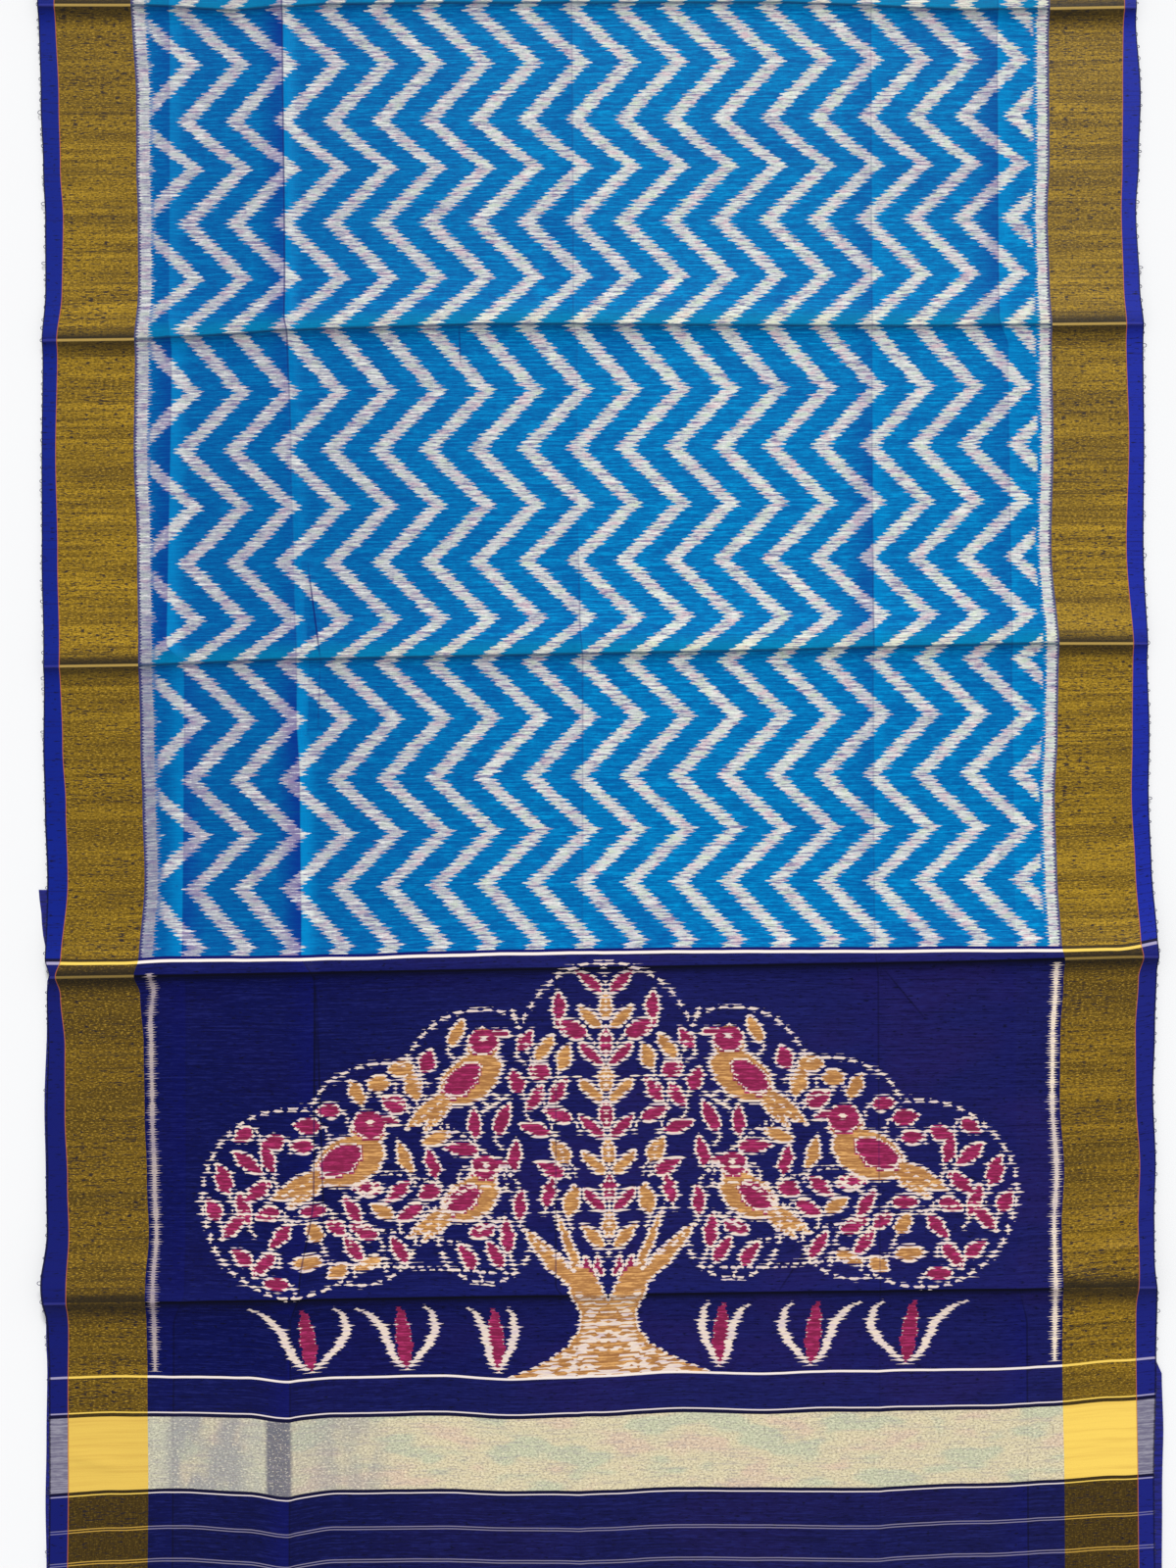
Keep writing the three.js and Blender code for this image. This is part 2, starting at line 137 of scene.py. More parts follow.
crossCreases = [  # ridges across the cloth; the course is how far each one strays at some places across
    {"y": -1062, "height": 4.5, "above": 34, "below": 9, "course": [(-600, -7.2), (600, 7.2)]},
    {"y": -706, "height": 7.5, "above": 52, "below": 11, "course": [(-600, -8.8), (600, 8.8)]},
    {"y": -366, "height": 6.5, "above": 30, "below": 7, "course": [
        (-590, -10), (-400, -6.5), (383, 7), (560, 12)]},
    {"y": -37, "height": 5, "above": 32, "below": 8, "course": [
        (-590, -12.5), (-470, -10.5), (-340, -5), (-110, -0.5), (140, 4), (450, 12), (560, 12)]},
    {"y": 310, "height": 5.5, "above": 32, "below": 8, "course": [
        (-590, -14), (-490, -13), (-420, -9.5), (-300, -2.5), (-110, 3), (330, 1.5), (560, 4)]},
    {"y": 652, "height": 5, "above": 30, "below": 8, "course": [
        (-590, 1), (-480, 1), (-385, -4), (-290, 3), (-160, 5), (200, 5), (400, -4), (560, -1)]},
    {"y": 980, "height": 4, "above": 34, "below": 9, "course": [(-600, -2.4), (600, 2.4)]},
]
lengthCreases = [  # folds along it: y, x, painted purple shade to the left (right where negative), painted shadow line
    {"height": 1.8, "left": 16, "right": 10, "route": [
        (-1150, -441, 0.3, 0.8), (-740, -441, 0.3, 0.6), (-700, -428, 0.4, 0.1), (-380, -430, 0.3, 0.1),
        (-350, -433, -0.6, 0), (-50, -433, -0.5, 0.05), (-25, -452, 0.9, 0.1), (290, -449, 1, 0.2),
        (320, -452, 0.5, 0.1), (660, -453, 0.5, 0.2), (1150, -453, 0.4, 0.2)]},
    {"height": 3.4, "left": 22, "right": 4, "route": [
        (-1150, -319, 0.95, 0.6), (-738, -319, 0.95, 0.6), (-704, -309, 0.5, 0.9), (-600, -295, 0.5, 1),
        (-380, -295, 0.4, 1), (-351, -308.7, 0.95, 0.1), (-173, -311.4, 1, 0.2), (-100, -315, 0.8, 0.1),
        (-36, -315, 0.6, 0.3), (34, -318, 0.45, 0.1), (180, -322, 0.5, 0.3), (303, -326, 0.8, 0.8),
        (320, -329, 0.95, 0.9), (660, -333, 0.95, 0.8), (1150, -336, 0.6, 0.5)]},
    {"height": 1.9, "left": 10, "right": 7, "route": [
        (-1150, -14, 0.1, 0.1), (-725, -20, 0.1, 0.2), (-695, -42, 0.1, 0.8), (-560, -42, 0.1, 0.6),
        (-380, -42, 0.1, 0.4), (-351, -14, 0.15, 0.15), (-45, -14, 0.2, 0.4), (0, -17, 0.35, 0.5),
        (140, -20, 0.2, 0.05), (290, -20, 0.2, 0.2), (320, -24, 0.2, 0.3), (1150, -29, 0.2, 0.3)]},
    {"height": 2.3, "left": 14, "right": 6, "route": [
        (-1150, 296, 0.1, 0.1), (-725, 296, 0.1, 0.2), (-690, 296, 0.2, 0.5), (-380, 296, 0.2, 0.6),
        (-345, 292, 0.2, 0.3), (-45, 292, 0.3, 0.3), (0, 292, 0.5, 0.6), (140, 292, 0.5, 0.3),
        (290, 292, 0.3, 0.2), (320, 292, 0.4, 0.3), (1150, 292, 0.3, 0.3)]},
    {"height": 1.6, "left": 18, "right": 10, "route": [
        (-1150, 450, 0.5, 0.9), (-740, 450, 0.4, 0.7), (-690, 440, 0.1, 0), (-345, 440, 0.2, 0),
        (0, 438, 0.4, 0.3), (290, 436, 0.3, 0.2), (320, 426, 0.5, 0.4), (1150, 426, 0.4, 0.3)]},
]
shortCreases = [  # creased by handling: each one's middle, turn in degrees from +X, size and painted shadow line
    {"x": -296, "y": 6, "turn": 98, "length": 132, "height": 1.6, "width": 2, "line": 1},
    {"x": -291, "y": -80, "turn": 88, "length": 90, "height": 1.2, "width": 2.5, "line": 0.4},
    {"x": -287, "y": -540, "turn": 92, "length": 360, "height": 1.4, "width": 2, "line": 0.9},
    {"x": 324, "y": -394, "turn": -50, "length": 92, "height": 1.0, "width": 2, "line": 0.7},
    {"x": 208, "y": -677, "turn": 56, "length": 88, "height": 1.2, "width": 2.2, "line": 0.7},
    {"x": -322, "y": -760, "turn": 84, "length": 70, "height": 1.0, "width": 2, "line": 0.4},
    {"x": 545, "y": -628, "turn": 24, "length": 100, "height": 2.0, "width": 5, "line": 0.3},
    {"x": 545, "y": -660, "turn": 8, "length": 70, "height": 1.6, "width": 4, "line": 0.3},
    {"x": 505, "y": -690, "turn": -22, "length": 80, "height": 1.3, "width": 4, "line": 0.3},
    {"x": -525, "y": -880, "turn": -14, "length": 90, "height": 0.9, "width": 5, "line": 0},
    {"x": -144, "y": 290, "turn": -88, "length": 56, "height": 1.0, "width": 5, "line": 0.6},
    {"x": 120, "y": 150, "turn": 84, "length": 160, "height": 0.9, "width": 10, "line": 0},
    {"x": -150, "y": 440, "turn": 95, "length": 150, "height": 1.0, "width": 10, "line": 0},
    {"x": 190, "y": -210, "turn": 88, "length": 170, "height": 1.0, "width": 10, "line": 0},
    {"x": -190, "y": -250, "turn": 93, "length": 130, "height": 1.0, "width": 10, "line": 0},
]
crease = {"roundness": 0.45, "unevenness": 0.25, "unevenLength": 190}
wave = {"height": 0.35, "across": 130, "along": 105}


def smoothStep(t):
    t = np.clip(t, 0, 1)
    return t * t * (3 - 2 * t)


def readTable(table, column, place, key="y"):
    places = np.array([row[key] for row in table], float)
    values = np.array([row[column] for row in table], float)
    i = np.clip(np.searchsorted(places, place) - 1, 0, len(places) - 2)
    t = smoothStep((place - places[i]) / (places[i + 1] - places[i]))
    return values[i] + (values[i + 1] - values[i]) * t


def readRoute(route, column, y):  # column 1 is x, 2 the violet, 3 the line
    return readTable([{"y": row[0], "value": row[column]} for row in route], "value", y)


def acrossAt(u, s):
    places = [0, cloth["selvage"], fieldStart, fieldEnd, cloth["width"] - cloth["selvage"], cloth["width"]]
    seams = [readTable(edges, name, s) for name in seamNames[1:]]
    x = seams[0]
    for k in range(len(places) - 1):
        x = x + np.clip((u - places[k]) / (places[k + 1] - places[k]), 0, 1) * (seams[k + 1] - seams[k])
    return x


def bowAt(x, s):  # the weft's bow, carried from one measured pick to the next
    pins, bands, pallu = (readTable(weftBow, name, x, "x") for name in ("pins", "bands", "pallu"))
    measured = [(-1140, 0.006 * x), (-957, pins), (cloth["bands"], bands), (cloth["pallu"], pallu),
                (0, 0.009 * x), (661, 0.007 * x), (1080, 0 * x)]
    bow = measured[0][1]
    for (low, _), (high, pick) in zip(measured, measured[1:]):
        bow = bow + (pick - bow) * smoothStep((s - low) / (high - low))
    return bow


def creaseAt(c, x):
    return c["y"] + np.interp(x, *zip(*c["course"]))


def ridge(distance, before, after):
    t = np.where(distance < 0, distance / before, distance / after)
    return np.exp(crease["roundness"] - np.hypot(t, crease["roundness"]))


def uneven(place, phase):
    return 1 + crease["unevenness"] * np.sin(place / crease["unevenLength"] + phase)


def shortPlace(c, x, y):  # how far to the side of a short crease, and how much of it is left there
    turn = math.radians(c["turn"])
    along = (x - c["x"]) * math.cos(turn) + (y - c["y"]) * math.sin(turn)
    aside = (y - c["y"]) * math.cos(turn) - (x - c["x"]) * math.sin(turn)
    return aside, smoothStep(1.3 - 1.3 * np.abs(along) / (c["length"] / 2))


def lift(x, y):
    z = wave["height"] * (1 + np.sin(x / wave["across"]) * np.cos(y / wave["along"]))
    for c in crossCreases:
        distance = y - creaseAt(c, x)
        z = z + c["height"] * ridge(distance, c["below"], c["above"]) * uneven(x, c["y"])
    for c in lengthCreases:
        distance = x - readRoute(c["route"], 1, y)
        z = z + c["height"] * ridge(distance, c["left"], c["right"]) * uneven(y, c["height"] * 50)
    for c in shortCreases:
        aside, fade = shortPlace(c, x, y)
        z = z + c["height"] * ridge(aside, c["width"], 2 * c["width"]) * fade
    return z * (1 - smoothStep((y - cloth["farFold"] + cloth["swell"]) / (0.7 * cloth["swell"])))


def hiddenTop(y):
    step = 1 - smoothStep((y - cloth["lowestEnd"]) / cloth["rampLength"])
    return cloth["layer"] + (cloth["layer"] - cloth["bite"]) * step


def height(x, y):  # the middle of the top layer, up to its far fold
    lying = hiddenTop(y) + cloth["seam"] + cloth["wall"] / 2 + lift(x, y)
    foot = cloth["farFold"] - cloth["swell"]
    climb = smoothStep((y - foot) / (turnStart - foot))
    return lying + (turnTop - lying) * climb


def slopes(x, y, reach=0.4):
    return (
        (height(x + reach, y) - height(x - reach, y)) / (2 * reach),
        (height(x, y + reach) - height(x, y - reach)) / (2 * reach),
    )


def onCloth(u, s):  # the top layer's outer face, in millimetres
    x = acrossAt(u, s)
    rolled = s - turnStart
    y = np.minimum(s + bowAt(x, s), turnStart)
    slopeX, slopeY = slopes(x, y)
    normal = np.stack([-slopeX, -slopeY, np.ones_like(x)], -1)
    normal *= cloth["wall"] / 2 / np.linalg.norm(normal, axis=-1, keepdims=True)
    flat = np.stack([x, y, height(x, y)], -1) + normal
    angle = np.clip(rolled / cloth["turnRadius"], 0, math.pi)
    radius = cloth["turnRadius"] + cloth["wall"] / 2
    back = np.maximum(0, rolled - math.pi * cloth["turnRadius"])
    rolledOver = np.stack([
        x, turnStart + radius * np.sin(angle) - back,
        turnTop - cloth["turnRadius"] + radius * np.cos(angle),
    ], -1)
    return np.where((rolled > 0)[..., None], rolledOver, flat)


# Mesh lines across the cloth, dense on the creases
creaseReach = [[c["y"] + end(place[1] for place in c["course"]) for end in (min, max)] for c in crossCreases]


def stationsBetween(start, end, fine=2.6, coarse=9.0):
    lines = [start]
    while lines[-1] < end - 0.4 * fine:
        s = lines[-1]
        if s >= turnStart - 12:
            step = 1.2
        else:
            onCrease = any(creases[0] - 18 < s < creases[1] + 26 for creases in creaseReach)
            step = fine if onCrease or s > cloth["farFold"] - cloth["swell"] else coarse
        lines.append(min(s + step, end))
    return np.array(lines)


def columnsBetween(start, end, fine=1.7, coarse=9.0):
    middle = cloth["width"] / 2 + 0.5
    folds = [middle + x for x in (-452, -433, -325, -308, -290, -30, -14, 291, 296, 426, 440)]
    lines = [start]
    while lines[-1] < end - 0.4 * fine:
        onFold = any(abs(lines[-1] - fold) < 14 for fold in folds)
        lines.append(min(lines[-1] + (fine if onFold else coarse), end))
    return np.array(lines)


def gridMesh(name, columns, rows):  # an even grid, and which column and row each vertex is in
    bm = bmesh.new()
    bmesh.ops.create_grid(bm, x_segments=columns, y_segments=rows, size=0.5)
    for edge in bm.edges:
        edge.smooth = not edge.is_boundary
    mesh = bpy.data.meshes.new(name)
    bm.to_mesh(mesh)
    bm.free()
    places = np.empty(len(mesh.vertices) * 3)
    mesh.vertices.foreach_get("co", places)
    places = places.reshape(-1, 3)[:, :2]
    share = (places - places.min(0)) / (places.max(0) - places.min(0))
    return mesh, np.rint(share[:, 0] * columns).astype(int), np.rint(share[:, 1] * rows).astype(int)


def cornerVertices(mesh):
    corners = np.empty(len(mesh.loops), int)
    mesh.loops.foreach_get("vertex_index", corners)
    return corners


def foldsAt(x, y):  # distances past the nearest crease and the nearest fold, and the strengths of that fold's painted purple shade and painted shadow line
    across = np.stack([y - creaseAt(c, x) for c in crossCreases])
    along = [x - readRoute(c["route"], 1, y) for c in lengthCreases]
    violetShade = [readRoute(c["route"], 2, y) * uneven(y, c["left"]) for c in lengthCreases]
    line = [readRoute(c["route"], 3, y) for c in lengthCreases]
    for c in shortCreases:
        if c["line"]:
            aside, fade = shortPlace(c, x, y)
            along.append(np.where(fade > 0.02, aside, 900))
            violetShade.append(0 * x)
            line.append(c["line"] * fade)
    crossing, fold = np.abs(across).argmin(0)[None], np.abs(np.stack(along)).argmin(0)[None]
    past, distance, violetShade, line = [
        np.take_along_axis(np.stack(v), i, 0)[0]
        for v, i in ((across, crossing), (along, fold), (violetShade, fold), (line, fold))]
    # the painted purple shade and painted shadow line fade out away from the fold
    violetShade = violetShade * smoothStep((60 - np.abs(distance)) / 12)
    line = line * smoothStep((24 - np.abs(distance)) / 10)
    return np.stack([past / 100, distance / 100, violetShade, line], -1)


def finishCloth(mesh, points, u, s, phase, thickness):
    mesh.vertices.foreach_set("co", (points * mm).astype(np.float32).ravel())
    corners = cornerVertices(mesh)
    weave = mesh.uv_layers.new(name="weave")
    weave.data.foreach_set("uv", (np.stack([u, s], -1)[corners] * mm).astype(np.float32).ravel())
    turns = mesh.attributes.new("zigzag", "FLOAT", "POINT")
    turns.data.foreach_set("value", phase.astype(np.float32))
    # distances and strengths from which the silks paint light and shade at folds and creases
    folds = mesh.attributes.new("folds", "FLOAT_COLOR", "POINT")
    folds.data.foreach_set("color", foldsAt(points[:, 0], points[:, 1]).astype(np.float32).ravel())
    mesh.shade_smooth()
    mesh.update()
    piece = bpy.data.objects.new(mesh.name, mesh)
    scene.collection.objects.link(piece)
    shell = piece.modifiers.new("silk", "SOLIDIFY")
    shell.thickness = thickness * mm
    shell.offset = -1
    return piece


zigzagTurns = [  # where the stripes turn: whole numbers point right, halves point left
    {"s": -460, "turn": -1}, {"s": -338, "turn": 0}, {"s": -277, "turn": 0.5}, {"s": -220.5, "turn": 1},
    {"s": -164.5, "turn": 1.5}, {"s": -102.5, "turn": 2}, {"s": -44, "turn": 2.5}, {"s": 2.5, "turn": 3},
    {"s": 63, "turn": 3.5}, {"s": 123, "turn": 4}, {"s": 182, "turn": 4.5}, {"s": 244, "turn": 5},
    {"s": 311, "turn": 5.5}, {"s": 365, "turn": 6}, {"s": 424, "turn": 6.5}, {"s": 482, "turn": 7},
    {"s": 533, "turn": 7.5}, {"s": 595, "turn": 8}, {"s": 650, "turn": 8.5}, {"s": 1250, "turn": 13.6},
]


def zigzagPhase(s):  # whole numbers where the zigzag points right
    places = [row["s"] for row in zigzagTurns]
    return np.interp(s, places, [row["turn"] for row in zigzagTurns])


def clothPiece(name, columns, rows):
    mesh, column, row = gridMesh(name, len(columns) - 1, len(rows) - 1)
    u, s = columns[column], rows[row]
    return finishCloth(mesh, onCloth(u, s), u, s, zigzagPhase(s), cloth["silk"])


def declare(piece, node):
    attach(piece, bodyName)
    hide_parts(node)


print("cloth measures ready")


# Shader helpers
def colour(r, g, b):  # each from 0 to 255, made linear
    def linear(c):
        c /= 255
        return c / 12.92 if c <= 0.04045 else ((c + 0.055) / 1.055) ** 2.4
    return (linear(r), linear(g), linear(b), 1)


def addNode(tree, kind, inputs=None, **settings):
    made = tree.nodes.new(kind)
    for name, value in settings.items():
        setattr(made, name, value)
    for name, value in (inputs or {}).items():
        if isinstance(value, bpy.types.NodeSocket):
            tree.links.new(value, made.inputs[name])
        else:
            made.inputs[name].default_value = value
    return made


def maths(tree, operation, *values, clamp=False):
    made = addNode(tree, "ShaderNodeMath", dict(enumerate(values)), operation=operation, use_clamp=clamp)
    return made.outputs[0]


def times(tree, first, second, clamp=False):
    return maths(tree, "MULTIPLY", first, second, clamp=clamp)


def plus(tree, first, second, clamp=False):
    return maths(tree, "ADD", first, second, clamp=clamp)


def minus(tree, first, second):
    return maths(tree, "SUBTRACT", first, second)


def larger(tree, first, second):
    return maths(tree, "MAXIMUM", first, second)


def smaller(tree, first, second):
    return maths(tree, "MINIMUM", first, second)


def mixColour(tree, share, first, second, blend="MIX"):  # a plain colour is red, green and blue to 255
    made = addNode(tree, "ShaderNodeMix", data_type="RGBA", blend_type=blend, clamp_factor=True)
    for socket, value in ((made.inputs[0], share), (made.inputs[6], first), (made.inputs[7], second)):
        if isinstance(value, bpy.types.NodeSocket):
            tree.links.new(value, socket)
        else:
            socket.default_value = colour(*value) if isinstance(value, tuple) else value
    return made.outputs[2]


def between(tree, value, low, high):  # 0 at low, 1 at high, smooth
    made = addNode(tree, "ShaderNodeMapRange", {"Value": value, "From Min": low, "From Max": high},
                   interpolation_type="SMOOTHSTEP")
    return made.outputs["Result"]


def stretched(tree, weave, across, along):  # the weave's own place, scaled for a streak
    made = addNode(tree, "ShaderNodeVectorMath", {0: weave, 1: (across, along, 1)}, operation="MULTIPLY")
    return made.outputs[0]


def noise(tree, place, scale=1.0, detail=2.0, roughness=0.5):
    made = addNode(tree, "ShaderNodeTexNoise", {
        "Vector": place, "Scale": scale, "Detail": detail, "Roughness": roughness})
    return made.outputs["Fac"]


def newGroup(name, takes, gives):
    group = bpy.data.node_groups.new(name, "ShaderNodeTree")
    kinds = {"value": "NodeSocketFloat", "vector": "NodeSocketVector", "colour": "NodeSocketColor"}
    for title, kind in takes:
        group.interface.new_socket(name=title, in_out="INPUT", socket_type=kinds[kind])
    for title, kind in gives:
        group.interface.new_socket(name=title, in_out="OUTPUT", socket_type=kinds[kind])
    takesNode, givesNode = group.nodes.new("NodeGroupInput"), group.nodes.new("NodeGroupOutput")
    return group, takesNode.outputs, givesNode.inputs


def useGroup(tree, group, inputs):
    made = addNode(tree, "ShaderNodeGroup", node_tree=group)
    for name, value in inputs.items():
        if isinstance(value, bpy.types.NodeSocket):
            tree.links.new(value, made.inputs[name])
        else:
            made.inputs[name].default_value = value
    return made.outputs


weaving = {  # heights of the tied bundles, their teeth and slip, in millimetres
    "pick": 4.35, "tooth": 3.0, "slip": 2.6, "fibre": 1.1, "comb": 3.3, "fineComb": 2.6, "thread": 0.62,
}


def threadsGroup():  # uneven handspun threads: tone, warp, dark slubs, faint long picks and relief
    group, take, give = newGroup(
        "handspunThreads", [("Weave", "vector")],
        [("Tone", "value"), ("Warp", "value"), ("Slub", "value"), ("Pick", "value"), ("Relief", "value"),
         ("Drift", "value")])
    weave = take["Weave"]
    fine = noise(group, stretched(group, weave, 75, 560), 1, 3, 0.7)
    long = noise(group, stretched(group, weave, 16, 520), 1, 1)
    tone = plus(group, times(group, fine, 0.6), times(group, long, 0.4))
    warp = noise(group, stretched(group, weave, 1000, 90), 1, 1, 0.6)
    slub = noise(group, stretched(group, weave, 130, 640), 1, 0)
    pick = noise(group, stretched(group, weave, 7, 430), 1, 0)
    drift = noise(group, stretched(group, weave, 6, 11), 1, 2)
    along = addNode(group, "ShaderNodeSeparateXYZ", {"Vector": weave}).outputs["Y"]
    ribs = maths(group, "SINE", times(group, along, 2 * math.pi / (weaving["thread"] * mm)))
    relief = plus(group, times(group, ribs, 0.25), times(group, tone, 1.1))
    relief = plus(group, relief, times(group, warp, 0.5))
    for name, socket in (("Tone", tone), ("Warp", warp), ("Slub", slub), ("Pick", pick), ("Relief", relief),
                         ("Drift", drift)):
        group.links.new(socket, give[name])
    return group


def picksGroup():  # tied and dyed weft: how far each bundle slipped, and the pointed tooth that it makes
    group, take, give = newGroup(
        "dyedPicks", [("Along", "value"), ("Pick", "value"), ("Slip", "value")],
        [("Shift", "value"), ("Tooth", "value"), ("Spike", "value")])
    count = maths(group, "DIVIDE", take["Along"], take["Pick"])
    row = maths(group, "FLOOR", count)
    wild = addNode(group, "ShaderNodeTexWhiteNoise", {"W": row}, noise_dimensions="1D").outputs["Value"]
    other = addNode(group, "ShaderNodeTexWhiteNoise", {"W": plus(group, row, 57.3)},
                    noise_dimensions="1D").outputs["Value"]
    slow = addNode(group, "ShaderNodeTexNoise", {"W": row, "Scale": 0.3, "Detail": 1.0},
                   noise_dimensions="1D").outputs["Fac"]
    spread = plus(group, minus(group, wild, 0.5), times(group, minus(group, slow, 0.5), 1.2))
    point = times(group, maths(group, "PINGPONG", count, 0.5), 2)
    tooth = times(group, minus(group, point, 0.42), plus(group, other, 0.55))
    spike = times(group, maths(group, "POWER", point, 2.5), plus(group, other, 0.45))
    group.links.new(times(group, spread, take["Slip"]), give["Shift"])
    group.links.new(tooth, give["Tooth"])
    group.links.new(spike, give["Spike"])
    return group


crossLines = {  # s of each line, and its width
    "white": [(-350.2, 3.0), (-791.9, 2.3), (-829.2, 1.3), (-914.0, 1.1)],
    "dark": [(-347.0, 3.0), (-832.0, 3.4), (-911.3, 2.8)],
    "pin": [(-949.0, 0.9), (-951.6, 0.9), (-982.4, 0.9), (-985.0, 0.9),
            (-1016.0, 0.9), (-1018.6, 0.9), (-1049.4, 0.9), (-1052.0, 0.9)],
    "band": (-910.0, -833.6),
}


def linesGroup():  # the lines and the broad band that run right across the cloth
    group, take, give = newGroup(
        "crossLines", [("Weave", "vector")], [("White", "value"), ("Dark", "value"), ("Pin", "value"),
                                              ("Band", "value"), ("Body", "value")])
    weave = take["Weave"]
    wobble = times(group, minus(group, noise(group, stretched(group, weave, 22, 22)), 0.5), 1.3 * mm)
    along = plus(group, addNode(group, "ShaderNodeSeparateXYZ", {"Vector": weave}).outputs["Y"], wobble)
    for name, title in (("white", "White"), ("dark", "Dark"), ("pin", "Pin")):
        total = None
        for place, width in crossLines[name]:
            away = maths(group, "ABSOLUTE", minus(group, along, place * mm))
            mask = between(group, away, (width / 2 + 0.35) * mm, (width / 2 - 0.35) * mm)
            total = mask if total is None else larger(group, total, mask)
        group.links.new(total, give[title])
    low, high = crossLines["band"]
    inBand = times(group, maths(group, "GREATER_THAN", along, low * mm),
                   maths(group, "LESS_THAN", along, high * mm))
    group.links.new(inBand, give["Band"])
    group.links.new(between(group, along, -345.9 * mm, -345.3 * mm), give["Body"])
    return group


foldLightReach = {  # how far each painted light and shade reaches from its fold or crease, in millimetres
    "violetShadeReach": 40, "litReach": 22, "creaseLightReach": 24, "crest": 1.3, "foot": 8, "rimReach": 17,
}


def foldLightGroup():  # painted light and shade at folds and creases: painted purple shade on one side of a fold and painted light on the other, painted shadow lines, painted light above a crease, a painted crest line, painted shade below and beside the crest
    group, take, give = newGroup(
        "paintedFoldLightAndShade", [("Folds", "colour"), ("Line", "value"), ("Drift", "value")],
        [("VioletShade", "value"), ("Lit", "value"), ("FoldShadow", "value"), ("CreaseLight", "value"), ("PaintedCrest", "value"),
         ("FootShade", "value"), ("CreaseShade", "value")])
    parts = addNode(group, "ShaderNodeSeparateColor", {"Color": take["Folds"]}).outputs
    crossing = times(group, parts["Red"], 100)
    fold = times(group, parts["Green"], 100)
    masks = []
    for side in (1, -1):  # the sign of the blue says on which side of the fold
        past = times(group, fold, side)
        share = times(group, parts["Blue"], side, clamp=True)
        # painted purple shade on one side of the fold, painted light on the other
        rising = maths(group, "POWER", between(group, past, -foldLightReach["violetShadeReach"], 1), 1.2)
        shade = times(group, rising, between(group, past, 0.8, -0.4))
        light = times(group, between(group, past, foldLightReach["litReach"], 3), between(group, past, -0.2, 1.4))
        masks.append([times(group, shape, share) for shape in (shade, light)])
    violetShade, lit = [larger(group, first, second) for first, second in zip(*masks)]
    group.links.new(times(group, violetShade, between(group, take["Drift"], 0.1, 0.45)), give["VioletShade"])
    group.links.new(lit, give["Lit"])
    # painted shadow line along the fold
    line = between(group, maths(group, "ABSOLUTE", minus(group, fold, 0.4)), 1.5, 0.3)
    group.links.new(times(group, line, take["Line"]), give["FoldShadow"])
    # painted light above the crest
    away = times(group, between(group, crossing, foldLightReach["creaseLightReach"], 3),
                 between(group, crossing, -0.3, 0.6))
    # the crest line, painted as a highlight on the border and selvage and as a dark line on the field and
    # pallu, and painted shade below the crest
    distance = maths(group, "ABSOLUTE", plus(group, crossing, 0.2))
    foot = times(group, between(group, crossing, -foldLightReach["foot"], -1.6),
                 between(group, crossing, 0.2, -1.2))
    group.links.new(away, give["CreaseLight"])
    group.links.new(between(group, distance, foldLightReach["crest"] + 0.5, foldLightReach["crest"] - 0.5), give["PaintedCrest"])
    group.links.new(foot, give["FootShade"])
    # painted shade on both sides of the crest
    before = times(group, between(group, crossing, foldLightReach["rimReach"], 2),
                   between(group, crossing, -1, 1))
    after = times(group, between(group, crossing, -1.5 * foldLightReach["rimReach"], -1), 0.9)
    after = times(group, after, between(group, crossing, 1, -1))
    group.links.new(larger(group, before, after), give["CreaseShade"])
    return group


threads, picks, lines, folds = threadsGroup(), picksGroup(), linesGroup(), foldLightGroup()


def newMaterial(name, look):
    material = bpy.data.materials.new(name)
    material.use_nodes = True
    nodes = material.node_tree
    shader = nodes.nodes["Principled BSDF"]
    shader.inputs["Specular IOR Level"].default_value = look["shine"]
    shader.inputs["Sheen Weight"].default_value = look["sheen"]
    shader.inputs["Sheen Roughness"].default_value = 0.35
    shader.inputs["Sheen Tint"].default_value = colour(*look["sheenTint"])
    weave = addNode(nodes, "ShaderNodeUVMap", uv_map="weave").outputs["UV"]
    place = addNode(nodes, "ShaderNodeSeparateXYZ", {"Vector": weave}).outputs
    yarn = useGroup(nodes, threads, {"Weave": weave})
    return material, nodes, shader, weave, place, yarn


# the painted light and shade of folds and creases, read from the folds attribute
def paintedFoldLight(nodes, yarn):
    attribute = addNode(nodes, "ShaderNodeAttribute", attribute_name="folds")
    return useGroup(nodes, folds, {
        "Folds": attribute.outputs["Color"], "Line": attribute.outputs["Alpha"], "Drift": yarn["Drift"]})


def finishMaterial(nodes, shader, look, base, yarn):
    tone = minus(nodes, yarn["Tone"], 0.5)
    rough = plus(nodes, times(nodes, tone, 0.5), look["rough"], clamp=True)
    bump = addNode(nodes, "ShaderNodeBump", {
        "Height": yarn["Relief"], "Distance": 0.25 * mm, "Strength": look["relief"]})
    nodes.links.new(base, shader.inputs["Base Color"])
    nodes.links.new(rough, shader.inputs["Roughness"])
    nodes.links.new(bump.outputs["Normal"], shader.inputs["Normal"])


def spanned(tree, value, span):  # between, for a span in millimetres
    return between(tree, value, span[0] * mm, span[1] * mm)


def layered(nodes, look, base, layers):  # a look's colours laid over a base, each by its own mask and weight
    for mask, weight, tint in layers:
        share = mask if weight == 1 else times(nodes, mask, weight)
        base = mixColour(nodes, share, base, look[tint] if isinstance(tint, str) else tint)
    return base


def dyedBundles(nodes, place, pick, slip):
    return useGroup(nodes, picks, {"Along": place["Y"], "Pick": pick * mm, "Slip": slip * mm})
